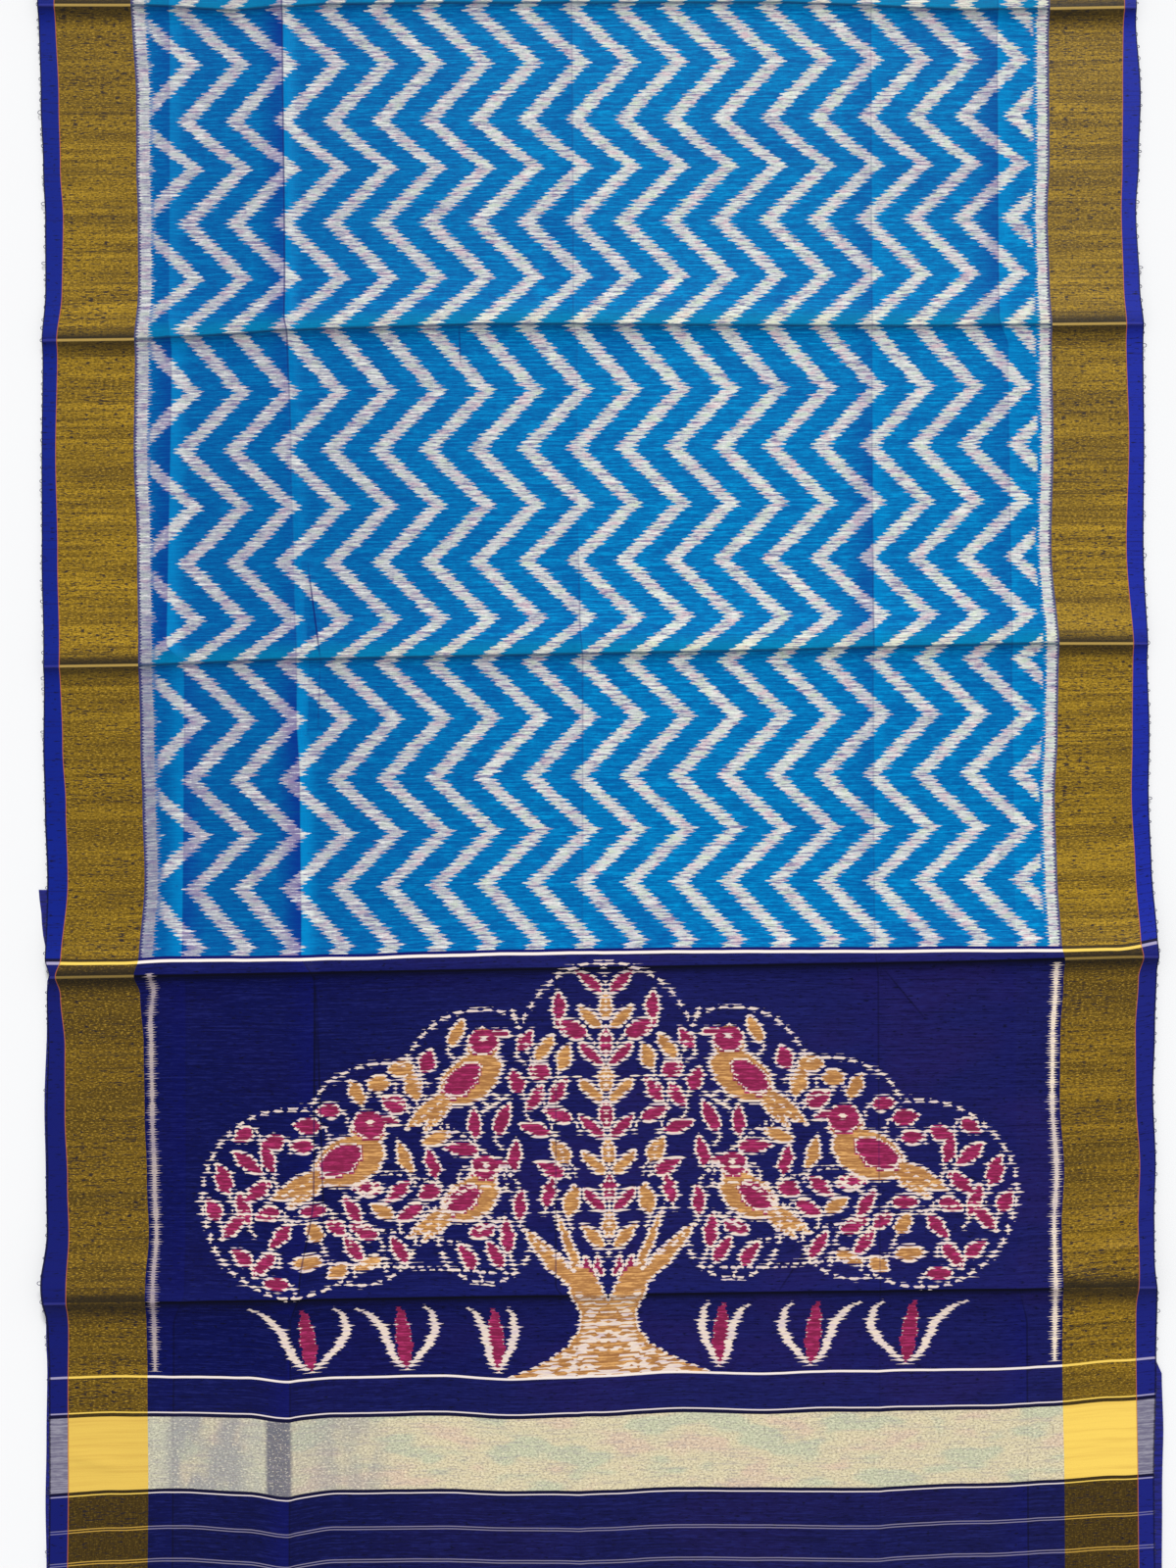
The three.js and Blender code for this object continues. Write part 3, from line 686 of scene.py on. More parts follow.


# the body's colours; its shade, purple shade, crease light, lit, fold line, crest and foot tones are painted
# light and shade
bodyLook = {
    "azure": (0, 119, 180), "azureDeep": (0, 82, 148), "azureVioletShade": (4, 36, 126),
    "azureCreaseLight": (0, 122, 160), "azurePale": (0, 146, 206), "azureLit": (0, 140, 202),
    "azureShade": (0, 64, 124), "cream": (194, 199, 196), "creamLit": (210, 216, 210),
    "creamShade": (136, 137, 148), "creamVioletShade": (108, 92, 148), "creamCreaseLight": (214, 214, 178),
    "lilac": (114, 106, 144), "rose": (200, 178, 182), "sage": (188, 202, 178),
    "threadPale": (238, 238, 230), "stripShade": (84, 88, 122), "navy": (16, 18, 92),
    "warp": (6, 50, 120), "slub": (20, 40, 110), "foldShadow": (14, 20, 96), "crest": (16, 56, 88),
    "foot": (128, 136, 150), "line": (232, 220, 212),
    "stripe": 51.2, "creamShare": 0.33, "swing": 60.5, "firstPeak": 187, "fray": 2.2,  # in millimetres
    "combLeft": (14.2, 13.4), "combRight": (12.6, 11.8), "clearLeft": (15, 18.5), "clearRight": (15.5, 17.5),
    "combSpike": 4.2, "seamLine": (3.0, 2.2), "seamTooth": 2.8,
    "shine": 0.03, "sheen": 0.01, "sheenTint": (150, 180, 240), "rough": 0.48, "relief": 0.35,
}


def zigzagMask(nodes, place, pick, fibre):
    look = bodyLook
    phase = addNode(nodes, "ShaderNodeAttribute", attribute_name="zigzag").outputs["Fac"]
    swing = times(nodes, maths(nodes, "PINGPONG", phase, 0.5), 2 * look["swing"] * mm)
    across = plus(nodes, plus(nodes, place["X"], swing), pick["Shift"])
    across = minus(nodes, across, look["firstPeak"] * mm)
    turn = maths(nodes, "FRACT", maths(nodes, "DIVIDE", across, look["stripe"] * mm))
    fromMiddle = maths(nodes, "ABSOLUTE", minus(nodes, turn, 0.5))
    tooth = times(nodes, pick["Tooth"], 2 * weaving["tooth"] / look["stripe"])
    frayed = times(nodes, fibre["Shift"], 1 / (look["stripe"] * mm))
    thin = times(nodes, fibre["Spike"], look["fray"] / look["stripe"])
    half = plus(nodes, plus(nodes, tooth, frayed), plus(nodes, thin, look["creamShare"] / 2 - 0.012))
    return between(nodes, minus(nodes, fromMiddle, half), 0.009, -0.009)


def combedStrips(nodes, place, comb):  # pale strips beside the borders, plain azure next to them, and seams
    look = bodyLook
    fromLeft, fromRight = minus(nodes, place["X"], fieldStart * mm), minus(nodes, fieldEnd * mm, place["X"])
    spikes = plus(nodes, times(nodes, comb["Spike"], look["combSpike"] * mm), comb["Shift"])
    left, right = minus(nodes, fromLeft, spikes), minus(nodes, fromRight, spikes)
    strips = larger(nodes, spanned(nodes, left, look["combLeft"]), spanned(nodes, right, look["combRight"]))
    clear = larger(nodes, spanned(nodes, left, look["clearLeft"]), 0.4)
    clear = times(nodes, clear, spanned(nodes, right, look["clearRight"]))
    edge = smaller(nodes, fromLeft, fromRight)
    edge = minus(nodes, edge, times(nodes, comb["Tooth"], look["seamTooth"] * mm))
    return fromLeft, strips, clear, spanned(nodes, edge, look["seamLine"])


def bodySilk():
    look = bodyLook
    material, nodes, shader, weave, place, yarn = newMaterial("bodySilk", look)
    pick = dyedBundles(nodes, place, weaving["pick"], weaving["slip"])
    fibre = dyedBundles(nodes, place, weaving["fibre"], 1.4)
    comb = dyedBundles(nodes, place, weaving["comb"], 1.2)
    fromLeft, strips, clear, seamLine = combedStrips(nodes, place, comb)
    cream = larger(nodes, times(nodes, zigzagMask(nodes, place, pick, fibre), clear), strips)
    fold = paintedFoldLight(nodes, yarn)
    # painted shade on the left of the field, deeper towards the pallu, and painted purple shade in drifting
    # patches and on the left
    leftSide = between(nodes, place["X"], 640 * mm, 150 * mm)
    downward = between(nodes, place["Y"], 620 * mm, -300 * mm)
    leftShade = times(nodes, leftSide, plus(nodes, 0.5, times(nodes, downward, 0.5)))
    shadePatches = between(nodes, yarn["Drift"], 0.52, 0.75)
    violetShade = times(nodes, larger(nodes, shadePatches, times(nodes, leftSide, 0.7)), 0.3)
    violetShade = larger(nodes, fold["VioletShade"], violetShade)
    # azure with its own thread tones, then painted shade, painted purple shade, and painted light above the
    # creases and on lit slopes
    azure = layered(nodes, look, look["azure"], [
        (between(nodes, yarn["Tone"], 0.56, 0.42), 0.8, "azureDeep"),
        (between(nodes, yarn["Tone"], 0.54, 0.62), 0.75, "azurePale"), (leftShade, 0.45, "azureShade"),
        (violetShade, 0.85, "azureVioletShade"), (fold["CreaseLight"], 0.6, "azureCreaseLight"), (fold["Lit"], 0.6, "azureLit")])
    hues = noise(nodes, stretched(nodes, weave, 60, 210), 1, 2)
    # painted shade on the lower part of the left pale strip
    lowStrip = times(nodes, spanned(nodes, fromLeft, (24, 14)), spanned(nodes, place["Y"], (60, -50)))
    # cream with its own hues and thread tones, and the same painted light and shade
    pale = layered(nodes, look, look["cream"], [
        (between(nodes, hues, 0.5, 0.66), 1, "rose"), (between(nodes, hues, 0.5, 0.34), 0.8, "sage"),
        (fold["CreaseLight"], 0.5, "creamCreaseLight"), (leftShade, 0.45, "creamShade"), (violetShade, 0.8, "creamVioletShade"),
        (fold["Lit"], 0.6, "creamLit"), (between(nodes, yarn["Tone"], 0.47, 0.4), 0.6, "threadPale"),
        (between(nodes, yarn["Tone"], 0.51, 0.59), 0.9, "lilac"), (lowStrip, 0.45, "stripShade")])
    # painted shadow lines along the folds, painted dark crest lines, then painted shade below each crest
    base = layered(nodes, look, mixColour(nodes, cream, azure, pale), [
        (seamLine, 0.85, "navy"), (between(nodes, yarn["Warp"], 0.4, 0.75), 0.12, "warp"),
        (between(nodes, yarn["Slub"], 0.74, 0.8), 0.4, "slub"), (fold["FoldShadow"], 0.85, "foldShadow"),
        (fold["PaintedCrest"], 0.7, "crest")])
    base = mixColour(nodes, times(nodes, fold["FootShade"], 0.55), base, look["foot"], "MULTIPLY")
    line = useGroup(nodes, lines, {"Weave": weave})
    base = mixColour(nodes, line["Body"], look["navy"], base)
    base = mixColour(nodes, line["White"], base, look["line"])
    finishMaterial(nodes, shader, look, base, yarn)
    return material


# the pallu's colours; its purple shade, crease light, fold line, foot, crest and leaf fold and foot tones
# are painted light and shade
palluLook = {
    "navy": (17, 19, 78), "navyBlue": (0, 6, 66), "plum": (30, 20, 80), "navyEnd": (4, 6, 46),
    "navyPale": (28, 34, 104), "navyDark": (2, 2, 40), "navyVioletShade": (4, 10, 98), "navyCreaseLight": (22, 28, 102),
    "slub": (4, 4, 30), "pick": (8, 8, 44), "foldShadow": (2, 2, 26), "foot": (3, 4, 30), "crest": (2, 2, 16),
    "cream": (222, 204, 186), "creamStreak": (176, 156, 184), "magenta": (130, 32, 72),
    "ochre": (170, 120, 70), "fillStreak": (150, 110, 130), "strip": (230, 212, 188),
    "stripStreak": (140, 130, 164), "stripDull": (120, 110, 146), "stripLeft": (92, 80, 112),
    "leafFoldShadow": (40, 20, 70), "leafFootShade": (60, 40, 60), "line": (232, 220, 212), "rim": 0.15,
    "stripMiddle": 8, "stripSpike": 5, "stripHalf": (2.1, 1.2), "stripEnds": (-786.5, -362),  # millimetres
    "pinch": 8,  # the left strip runs nearer its border by this
    "shine": 0.08, "sheen": 0.02, "sheenTint": (120, 120, 220), "rough": 0.52, "relief": 0.35,
}


def navyGround(nodes, yarn, fold, place):
    look = palluLook
    return layered(nodes, look, look["navy"], [
        (between(nodes, yarn["Drift"], 0.45, 0.65), 0.5, "plum"),
        (spanned(nodes, place["X"], (700, 180)), 0.8, "navyBlue"),
        (spanned(nodes, place["Y"], (-880, -920)), 0.35, "navyEnd"),
        (between(nodes, yarn["Tone"], 0.5, 0.62), 0.45, "navyPale"),
        # painted purple shade, painted light above the creases, painted shadow lines, painted shade below
        # the crests and painted dark crest lines, among the thread tones
        (between(nodes, yarn["Tone"], 0.48, 0.38), 0.55, "navyDark"), (fold["VioletShade"], 0.6, "navyVioletShade"),
        (fold["CreaseLight"], 0.25, "navyCreaseLight"), (between(nodes, yarn["Slub"], 0.7, 0.76), 0.8, "slub"),
        (between(nodes, yarn["Pick"], 0.7, 0.78), 0.5, "pick"), (fold["FoldShadow"], 0.8, "foldShadow"),
        (fold["FootShade"], 0.8, "foot"), (fold["PaintedCrest"], 0.95, "crest")])


def featheredStrips(nodes, place):  # beside the borders, each frayed both ways
    look = palluLook
    low, high = look["stripEnds"]
    pinch = times(nodes, spanned(nodes, place["Y"], (-425, -365)), look["pinch"] * mm)
    fromLeft = minus(nodes, minus(nodes, place["X"], fieldStart * mm), pinch)
    fromEdge = smaller(nodes, fromLeft, minus(nodes, fieldEnd * mm, place["X"]))
    near = maths(nodes, "ABSOLUTE", minus(nodes, fromEdge, look["stripMiddle"] * mm))
    comb = dyedBundles(nodes, place, weaving["fineComb"], 1.4)
    frayed = plus(nodes, times(nodes, comb["Spike"], look["stripSpike"] * mm), comb["Shift"])
    within = times(nodes, maths(nodes, "LESS_THAN", place["Y"], high * mm),
                   maths(nodes, "GREATER_THAN", place["Y"], low * mm))
    return times(nodes, spanned(nodes, minus(nodes, near, frayed), look["stripHalf"]), within)


def palluSilk():
    look = palluLook
    material, nodes, shader, weave, place, yarn = newMaterial("palluSilk", look)
    fold = paintedFoldLight(nodes, yarn)
    base = navyGround(nodes, yarn, fold, place)
    figure = addNode(nodes, "ShaderNodeAttribute", attribute_name="figure")
    part = addNode(nodes, "ShaderNodeSeparateColor", {"Color": figure.outputs["Color"]}).outputs
    ring = addNode(nodes, "ShaderNodeAttribute", attribute_name="ring").outputs["Fac"]
    upward = minus(nodes, place["Y"], cloth["bands"] * mm)
    bundle = useGroup(nodes, picks, {"Along": upward, "Pick": rowHeight * mm, "Slip": 0.0})
    fibre = useGroup(nodes, picks, {"Along": place["Y"], "Pick": weaving["fibre"] * mm, "Slip": 0.12})
    teeth = plus(nodes, times(nodes, bundle["Tooth"], 0.26), times(nodes, bundle["Spike"], 0.2))
    ragged = times(nodes, plus(nodes, teeth, fibre["Shift"]), figure.outputs["Alpha"])
    leaf = between(nodes, minus(nodes, part["Red"], ragged), 0.04, -0.04)
    stroke = between(nodes, minus(nodes, part["Green"], times(nodes, ragged, 1.05)), 0.04, -0.04)
    ringed = plus(nodes, ring, times(nodes, ragged, 0.6))
    inside = between(nodes, ringed, 0.04 - look["rim"], -0.04 - look["rim"])
    streak = between(nodes, yarn["Tone"], 0.44, 0.62)
    fill = mixColour(nodes, part["Blue"], look["magenta"], look["ochre"])
    fill = mixColour(nodes, between(nodes, yarn["Tone"], 0.5, 0.4), fill, (255, 255, 255), "SOFT_LIGHT")
    fill = mixColour(nodes, times(nodes, streak, 0.4), fill, look["fillStreak"], "MULTIPLY")
    pale = mixColour(nodes, times(nodes, streak, 0.55), look["cream"], look["creamStreak"])
    strip = featheredStrips(nodes, place)
    stripSilk = layered(nodes, look, look["strip"], [
        (streak, 0.5, "stripStreak"), (between(nodes, yarn["Drift"], 0.45, 0.65), 0.3, "stripDull"),
        (maths(nodes, "LESS_THAN", place["X"], 0.5), 0.55, "stripLeft")])
    base = layered(nodes, look, base, [
        (leaf, 1, pale), (inside, 1, fill), (stroke, 1, pale), (strip, 1, stripSilk),
        # painted shadow lines and painted shade below the crests, on the leaves and strips
        (times(nodes, fold["FoldShadow"], leaf), 0.7, "leafFoldShadow"),
        (times(nodes, fold["FootShade"], larger(nodes, leaf, strip)), 0.35, "leafFootShade"),
        (useGroup(nodes, lines, {"Weave": weave})["White"], 1, "line")])
    finishMaterial(nodes, shader, look, base, yarn)
    return material


# the band's colours; grey, shade and bright are painted shade and light on facets between folds, and its
# fold line a painted shadow line
bandLook = {
    "cream": (205, 193, 158), "green": (186, 188, 158), "rose": (207, 181, 158), "grey": (148, 148, 146),
    "shade": (84, 86, 104), "bright": (196, 194, 168), "grainDark": (128, 120, 112),
    "grainPale": (242, 232, 204), "threadDull": (140, 132, 140), "speck": (246, 206, 110),
    "foldShadow": (90, 84, 100), "dark": (10, 8, 44), "line": (224, 212, 206), "pin": (158, 150, 172),
    "shine": 0.12, "sheen": 0.03, "sheenTint": (220, 220, 255), "rough": 0.42, "relief": 0.35,
}


def bandPatch(nodes, place, start, end, soft):  # light or shade on one facet between two folds
    rising = spanned(nodes, place["X"], (start - soft, start + soft))
    return times(nodes, rising, spanned(nodes, place["X"], (end + soft, end - soft)))


def bandSilk():
    look = bandLook
    material, nodes, shader, weave, place, yarn = newMaterial("bandSilk", look)
    fold = paintedFoldLight(nodes, yarn)
    base = navyGround(nodes, yarn, fold, place)
    patches = noise(nodes, stretched(nodes, weave, 13, 34), 1, 2)
    grain = noise(nodes, stretched(nodes, weave, 360, 560), 1, 2, 0.65)
    mottled = between(nodes, noise(nodes, stretched(nodes, weave, 34, 20), 1, 2), 0.34, 0.56)
    band = layered(nodes, look, look["cream"], [
        (between(nodes, patches, 0.5, 0.6), 1, "green"), (between(nodes, patches, 0.46, 0.36), 0.8, "rose"),
        # painted shade, greyer towards the left and on two mottled facets, painted light on the bright
        # facets, painted shade on the dark facet
        (spanned(nodes, place["X"], (400, 270)), 0.4, "grey"),
        (times(nodes, bandPatch(nodes, place, 105, 226, 14), mottled), 0.9, "grey"),
        (bandPatch(nodes, place, 100, 122, 8), 0.6, "bright"),
        (bandPatch(nodes, place, 200, 228, 10), 0.45, "bright"),
        (bandPatch(nodes, place, 225, 251, 2.5), 0.9, "shade"),
        (times(nodes, bandPatch(nodes, place, 280, 345, 16), mottled), 0.5, "grey"),
        (between(nodes, grain, 0.5, 0.36), 0.6, "grainDark"),
        (between(nodes, grain, 0.54, 0.68), 0.55, "grainPale"),
        (between(nodes, yarn["Tone"], 0.5, 0.6), 0.4, "threadDull"),
        # flecks, then a painted shadow line along the folds
        (between(nodes, grain, 0.7, 0.74), 0.6, "speck"), (fold["FoldShadow"], 0.2, "foldShadow")])
    line = useGroup(nodes, lines, {"Weave": weave})
    base = layered(nodes, look, base, [
        (line["Band"], 1, band), (line["Dark"], 1, "dark"), (line["White"], 1, "line"),
        (line["Pin"], 0.6, "pin")])
    finishMaterial(nodes, shader, look, base, yarn)
    return material


# the border's colours; shade is painted shade and glint a painted highlight
borderLook = {
    "gold": (134, 104, 16), "goldPale": (170, 134, 28), "goldDim": (94, 71, 14), "slub": (22, 20, 34),
    "olive": (120, 91, 17), "olivePale": (154, 119, 28), "oliveDark": (66, 49, 14), "looseEnd": (52, 38, 11),
    "yellow": (234, 198, 90), "yellowDim": (220, 182, 82), "yellowLeft": (170, 132, 60),
    "pin": (206, 164, 72), "warp": (96, 74, 18), "pick": (60, 48, 26),
    "grainDark": (58, 45, 14), "grainPale": (200, 162, 58),
    "shade": (34, 28, 18), "glint": (206, 172, 92), "seam": (170, 92, 62), "dark": (48, 36, 14),
    "shine": 0.12, "sheen": 0.02, "sheenTint": (255, 220, 150), "rough": 0.42, "relief": 0.5,
}


def borderShade(nodes, place):  # painted shade: the left border darker towards the pallu, and both borders darker far up, the left more
    left = times(nodes, spanned(nodes, place["X"], (600, 200)), 0.4)
    low = times(nodes, left, spanned(nodes, place["Y"], (-40, -110)))
    top = times(nodes, spanned(nodes, place["Y"], (470, 560)), plus(nodes, left, 0.1))
    return larger(nodes, low, top)


def borderSilk():
    look = borderLook
    material, nodes, shader, weave, place, yarn = newMaterial("borderSilk", look)
    fold = paintedFoldLight(nodes, yarn)
    line = useGroup(nodes, lines, {"Weave": weave})
    rows = noise(nodes, stretched(nodes, weave, 5, 200), 1, 3, 0.7)
    broad = noise(nodes, stretched(nodes, weave, 1.5, 34), 1, 2, 0.6)  # duller and brighter weft
    grain = noise(nodes, stretched(nodes, weave, 300, 760), 1, 2, 0.7)
    patches = noise(nodes, stretched(nodes, weave, 9, 24), 1, 2)
    duller, brighter = between(nodes, broad, 0.48, 0.36), between(nodes, broad, 0.54, 0.66)
    gold = layered(nodes, look, look["gold"], [
        (between(nodes, rows, 0.46, 0.66), 1, "goldPale"),
        (between(nodes, rows, 0.5, 0.36), 0.85, "goldDim"),
        (between(nodes, patches, 0.52, 0.38), 0.35, "goldDim"), (duller, 0.5, "goldDim"),
        (brighter, 0.4, "goldPale"), (borderShade(nodes, place), 1, "goldDim")])
    olive = layered(nodes, look, look["olive"], [
        (between(nodes, rows, 0.46, 0.7), 1, "olivePale"),
        (between(nodes, rows, 0.5, 0.36), 0.75, "oliveDark"),
        (between(nodes, patches, 0.52, 0.34), 0.4, "oliveDark"), (duller, 0.5, "oliveDark"),
        (brighter, 0.4, "olivePale"), (spanned(nodes, place["X"], (600, 200)), 0.45, "oliveDark"),
        # painted shade below the crease at the top of the pallu
        (spanned(nodes, place["Y"], (-436, -416)), 0.55, "oliveDark"),
        (spanned(nodes, place["Y"], (-780, -930)), 1, "looseEnd")])
    yellow = layered(nodes, look, look["yellow"], [
        (between(nodes, rows, 0.4, 0.7), 1, "yellowDim"),
        (maths(nodes, "LESS_THAN", place["X"], 0.5), 0.3, "yellowLeft")])
    # painted highlight along the crests, weaker towards the pallu and gone below it
    crest = times(nodes, fold["PaintedCrest"], spanned(nodes, place["Y"], (-640, -100)))
    clustered = plus(nodes, yarn["Slub"], times(nodes, minus(nodes, patches, 0.5), 0.4))
    grained = plus(nodes, times(nodes, spanned(nodes, place["Y"], (-940, -780)), 0.7), 0.3)
    outer = smaller(nodes, place["X"], minus(nodes, cloth["width"] * mm, place["X"]))
    seam = spanned(nodes, outer, (cloth["selvage"] + 1.3, cloth["selvage"] + 0.5))
    # then painted shade beside the creases and along the folds, and the painted highlight on the crests
    base = layered(nodes, look, mixColour(nodes, line["Body"], olive, gold), [
        (times(nodes, between(nodes, grain, 0.5, 0.35), grained), 0.85, "grainDark"),
        (times(nodes, between(nodes, grain, 0.53, 0.67), grained), 0.6, "grainPale"),
        (between(nodes, yarn["Warp"], 0.42, 0.66), 0.3, "warp"),
        (between(nodes, yarn["Pick"], 0.68, 0.76), 0.5, "pick"),
        (between(nodes, clustered, 0.66, 0.71), 0.85, "slub"), (fold["CreaseShade"], 0.93, "shade"),
        (crest, 0.6, "glint"), (fold["FoldShadow"], 0.6, "shade"), (line["Band"], 1, yellow),
        (line["Dark"], 0.85, "dark"), (line["White"], 1, "yellow"), (line["Pin"], 0.8, "pin"),
        (seam, 0.8, "seam")])
    finishMaterial(nodes, shader, look, base, yarn)
    return material


# the selvage's colours; near and foot are painted shade, crest a painted highlight
selvageLook = {
    "blue": (20, 36, 145), "blueDim": (8, 29, 124), "deep": (22, 29, 112), "deepDim": (14, 22, 98),
    "grey": (142, 139, 153), "greyDark": (104, 100, 122), "threadDark": (20, 22, 100), "pick": (16, 16, 76),
    "slub": (10, 10, 40), "near": (14, 16, 76), "foot": (8, 8, 50), "crest": (90, 90, 190),
    "dark": (10, 8, 44), "line": (172, 164, 192), "pin": (130, 126, 160), "fringe": (10, 10, 38),
    "shine": 0.1, "sheen": 0.02, "sheenTint": (120, 120, 255), "rough": 0.46, "relief": 0.4,
}


def selvageSilk():
    look = selvageLook
    material, nodes, shader, weave, place, yarn = newMaterial("selvageSilk", look)
    fold = paintedFoldLight(nodes, yarn)
    line = useGroup(nodes, lines, {"Weave": weave})
    leftSide = maths(nodes, "LESS_THAN", place["X"], 0.5)
    blue = mixColour(nodes, leftSide, look["blue"], look["blueDim"])
    deep = mixColour(nodes, leftSide, look["deep"], look["deepDim"])
    speck = mixColour(nodes, between(nodes, yarn["Tone"], 0.42, 0.62), look["greyDark"], look["grey"])
    outer = smaller(nodes, place["X"], minus(nodes, cloth["width"] * mm, place["X"]))
    fringe = spanned(nodes, plus(nodes, outer, times(nodes, yarn["Tone"], 2.4 * mm)), (3.2, 2.0))
    base = layered(nodes, look, mixColour(nodes, line["Body"], deep, blue), [
        (between(nodes, yarn["Tone"], 0.5, 0.34), 0.45, "threadDark"),
        (between(nodes, yarn["Pick"], 0.64, 0.74), 0.5, "pick"),
        # painted shade beside and below the creases, a painted highlight on their crests
        (between(nodes, yarn["Slub"], 0.7, 0.76), 0.85, "slub"), (fold["CreaseShade"], 0.3, "near"),
        (fold["FootShade"], 0.5, "foot"), (fold["PaintedCrest"], 0.2, "crest"), (line["Band"], 1, speck),
        (line["Dark"], 1, "dark"), (line["White"], 0.8, "line"), (line["Pin"], 0.7, "pin"),
        (fringe, 0.85, "fringe")])
    finishMaterial(nodes, shader, look, base, yarn)
    return material


print("silks ready")
silks = {
    "body_silk": bodySilk(), "pallu_silk": palluSilk(), "band_silk": bandSilk(),
    "border_silk": borderSilk(), "selvage_silk": selvageSilk(),
}


# The body, in four stretches from the pallu to the far fold
def makeBody():
    columns = columnsBetween(fieldStart, fieldEnd)
    stretches = [("body_near", cloth["pallu"], 130), ("body_middle", 130, 470),
                 ("body_upper", 470, 810), ("body_far", 810, turnEnd)]
    for name, start, end in stretches:
        piece = clothPiece(name, columns, stationsBetween(start, end))
        piece.data.materials.append(silks["body_silk"])
        declare(piece, "body_field")


# The tree on the pallu, drawn half and mirrored: a runs out from its stem, b up from the ground line
tree = {
    "axis": 4 + cloth["width"] / 2, "column": 2.4, "rows": palluRows, "samples": 2, "slip": 1.1, "far": 30,
    "leafLength": (25, 40), "leafWidth": (7.4, 10), "leafRoom": 2.4, "ochreShare": 0.28,
    "trunk": [(0, 110), (5, 96), (11, 78), (20, 60), (32, 44), (46, 33), (60, 29), (74, 32), (86, 38),
              (98, 42), (108, 38), (116, 30)],
    "limbs": [((28, 92), (92, 158), 9), ((24, 96), (58, 176), 5.5)],  # root, tip and half width
    "crotch": (84, 0.55), "crown": 116, "flecks": 120, "leafTries": 9000,
    "lobes": [((0, 222), 110), ((0, 340), 92), ((132, 300), 84), ((236, 244), 86), ((330, 186), 98),
              ((256, 152), 54), ((130, 150), 50)],
    "birds": [((142, 312), 40, 34), ((272, 228), 43, 22), ((146, 186), 36, 28)],  # place, size, tilt
    "sprigs": [(116, 20), (212, 34), (312, 42)],  # foot and spread
    "outerBlade": [(0.5, 20), (0.66, 44), (0.85, 62), (1.5, 73)],  # how far aside, in spreads, and how high
    "innerBlade": [(0.5, 22), (0.85, 44), (0.95, 62), (0.6, 74)],
}
magenta, ochre = 0.0, 1.0
chance = np.random.default_rng(7)


def newFigure():  # distances to the nearest leaf, its filling and the nearest stroke
    a = np.arange(0, fieldEnd - tree["axis"] + 12, tree["column"])
    b = (np.arange(tree["rows"] * tree["samples"]) + 0.5) * rowHeight / tree["samples"]
    slip = np.repeat(chance.normal(0, tree["slip"], tree["rows"]), tree["samples"])
    shape = (len(b), len(a))
    return {"a": a, "b": b, "slip": slip, "leaf": np.full(shape, float(tree["far"])),
            "ring": np.full(shape, float(tree["far"])), "stroke": np.full(shape, float(tree["far"])),
            "hue": np.zeros(shape)}


def near(figure, points, margin=16):  # the part of the figure round some points, and its places
    points = np.array(points, float)
    low, high = points.min(0) - margin, points.max(0) + margin
    rows = slice(*np.searchsorted(figure["b"], (low[1], high[1])))
    cols = slice(*np.searchsorted(figure["a"], (low[0], high[0])))
    a = figure["a"][cols][None, :] + figure["slip"][rows][:, None]
    return (rows, cols), a, figure["b"][rows][:, None] + 0 * a


def leafGap(a, b, base, tip, width):
    base, tip = np.array(base, float), np.array(tip, float)
    length = np.linalg.norm(tip - base)
    unit = (tip - base) / length
    along = ((a - base[0]) * unit[0] + (b - base[1]) * unit[1]) / length
    aside = np.abs((b - base[1]) * unit[0] - (a - base[0]) * unit[1])
    profile = width * np.sin(math.pi * np.clip(along, 0, 1) ** 0.8) ** 0.75
    past = np.maximum(np.maximum(-along, along - 1), 0) * length
    return np.hypot(past, np.maximum(aside - profile, 0)) + np.minimum(aside - profile, 0)


def ovalGap(a, b, centre, radii, turn):
    c, s = math.cos(math.radians(turn)), math.sin(math.radians(turn))
    p, q = (a - centre[0]) * c + (b - centre[1]) * s, (b - centre[1]) * c - (a - centre[0]) * s
    return (np.hypot(p / radii[0], q / radii[1]) - 1) * min(radii)


def draw(figure, part, where, gap, hue, bare=0):
    for name, value in (("leaf", gap), ("ring", gap - bare), ("hue", hue)):
        figure[name][part] = np.where(where, value, figure[name][part])


def join(figure, part, gap, hue, bare=0):
    draw(figure, part, gap < figure["leaf"][part], gap, hue, bare)


def cover(figure, part, gap, hue):  # laid over what is there, inside its own pale rim
    draw(figure, part, gap < 0, gap, hue)


def addLeaf(figure, base, tip, width, hue, bare=0):
    part, a, b = near(figure, [base, tip])
    join(figure, part, leafGap(a, b, base, tip, width), hue, bare)


def addStroke(figure, points, half, dash=0, share=0.62):
    points = np.array(points, float)
    part, a, b = near(figure, points)
    walked = 0.0
    for p, q in zip(points, points[1:]):
        length = max(np.linalg.norm(q - p), 1e-6)
        t = np.clip(((a - p[0]) * (q - p)[0] + (b - p[1]) * (q - p)[1]) / length ** 2, 0, 1)
        gap = np.hypot(a - p[0] - t * (q - p)[0], b - p[1] - t * (q - p)[1]) - half
        if dash:
            gap = np.where(((walked + t * length) / dash) % 1 < share, gap, np.maximum(gap, 4))
        figure["stroke"][part] = np.minimum(figure["stroke"][part], gap)
        walked += length


def curve(start, bend, end, count=24):
    t = np.linspace(0, 1, count)[:, None]
    start, bend, end = (np.array(p, float) for p in (start, bend, end))
    return (1 - t) ** 2 * start + 2 * t * (1 - t) * bend + t ** 2 * end


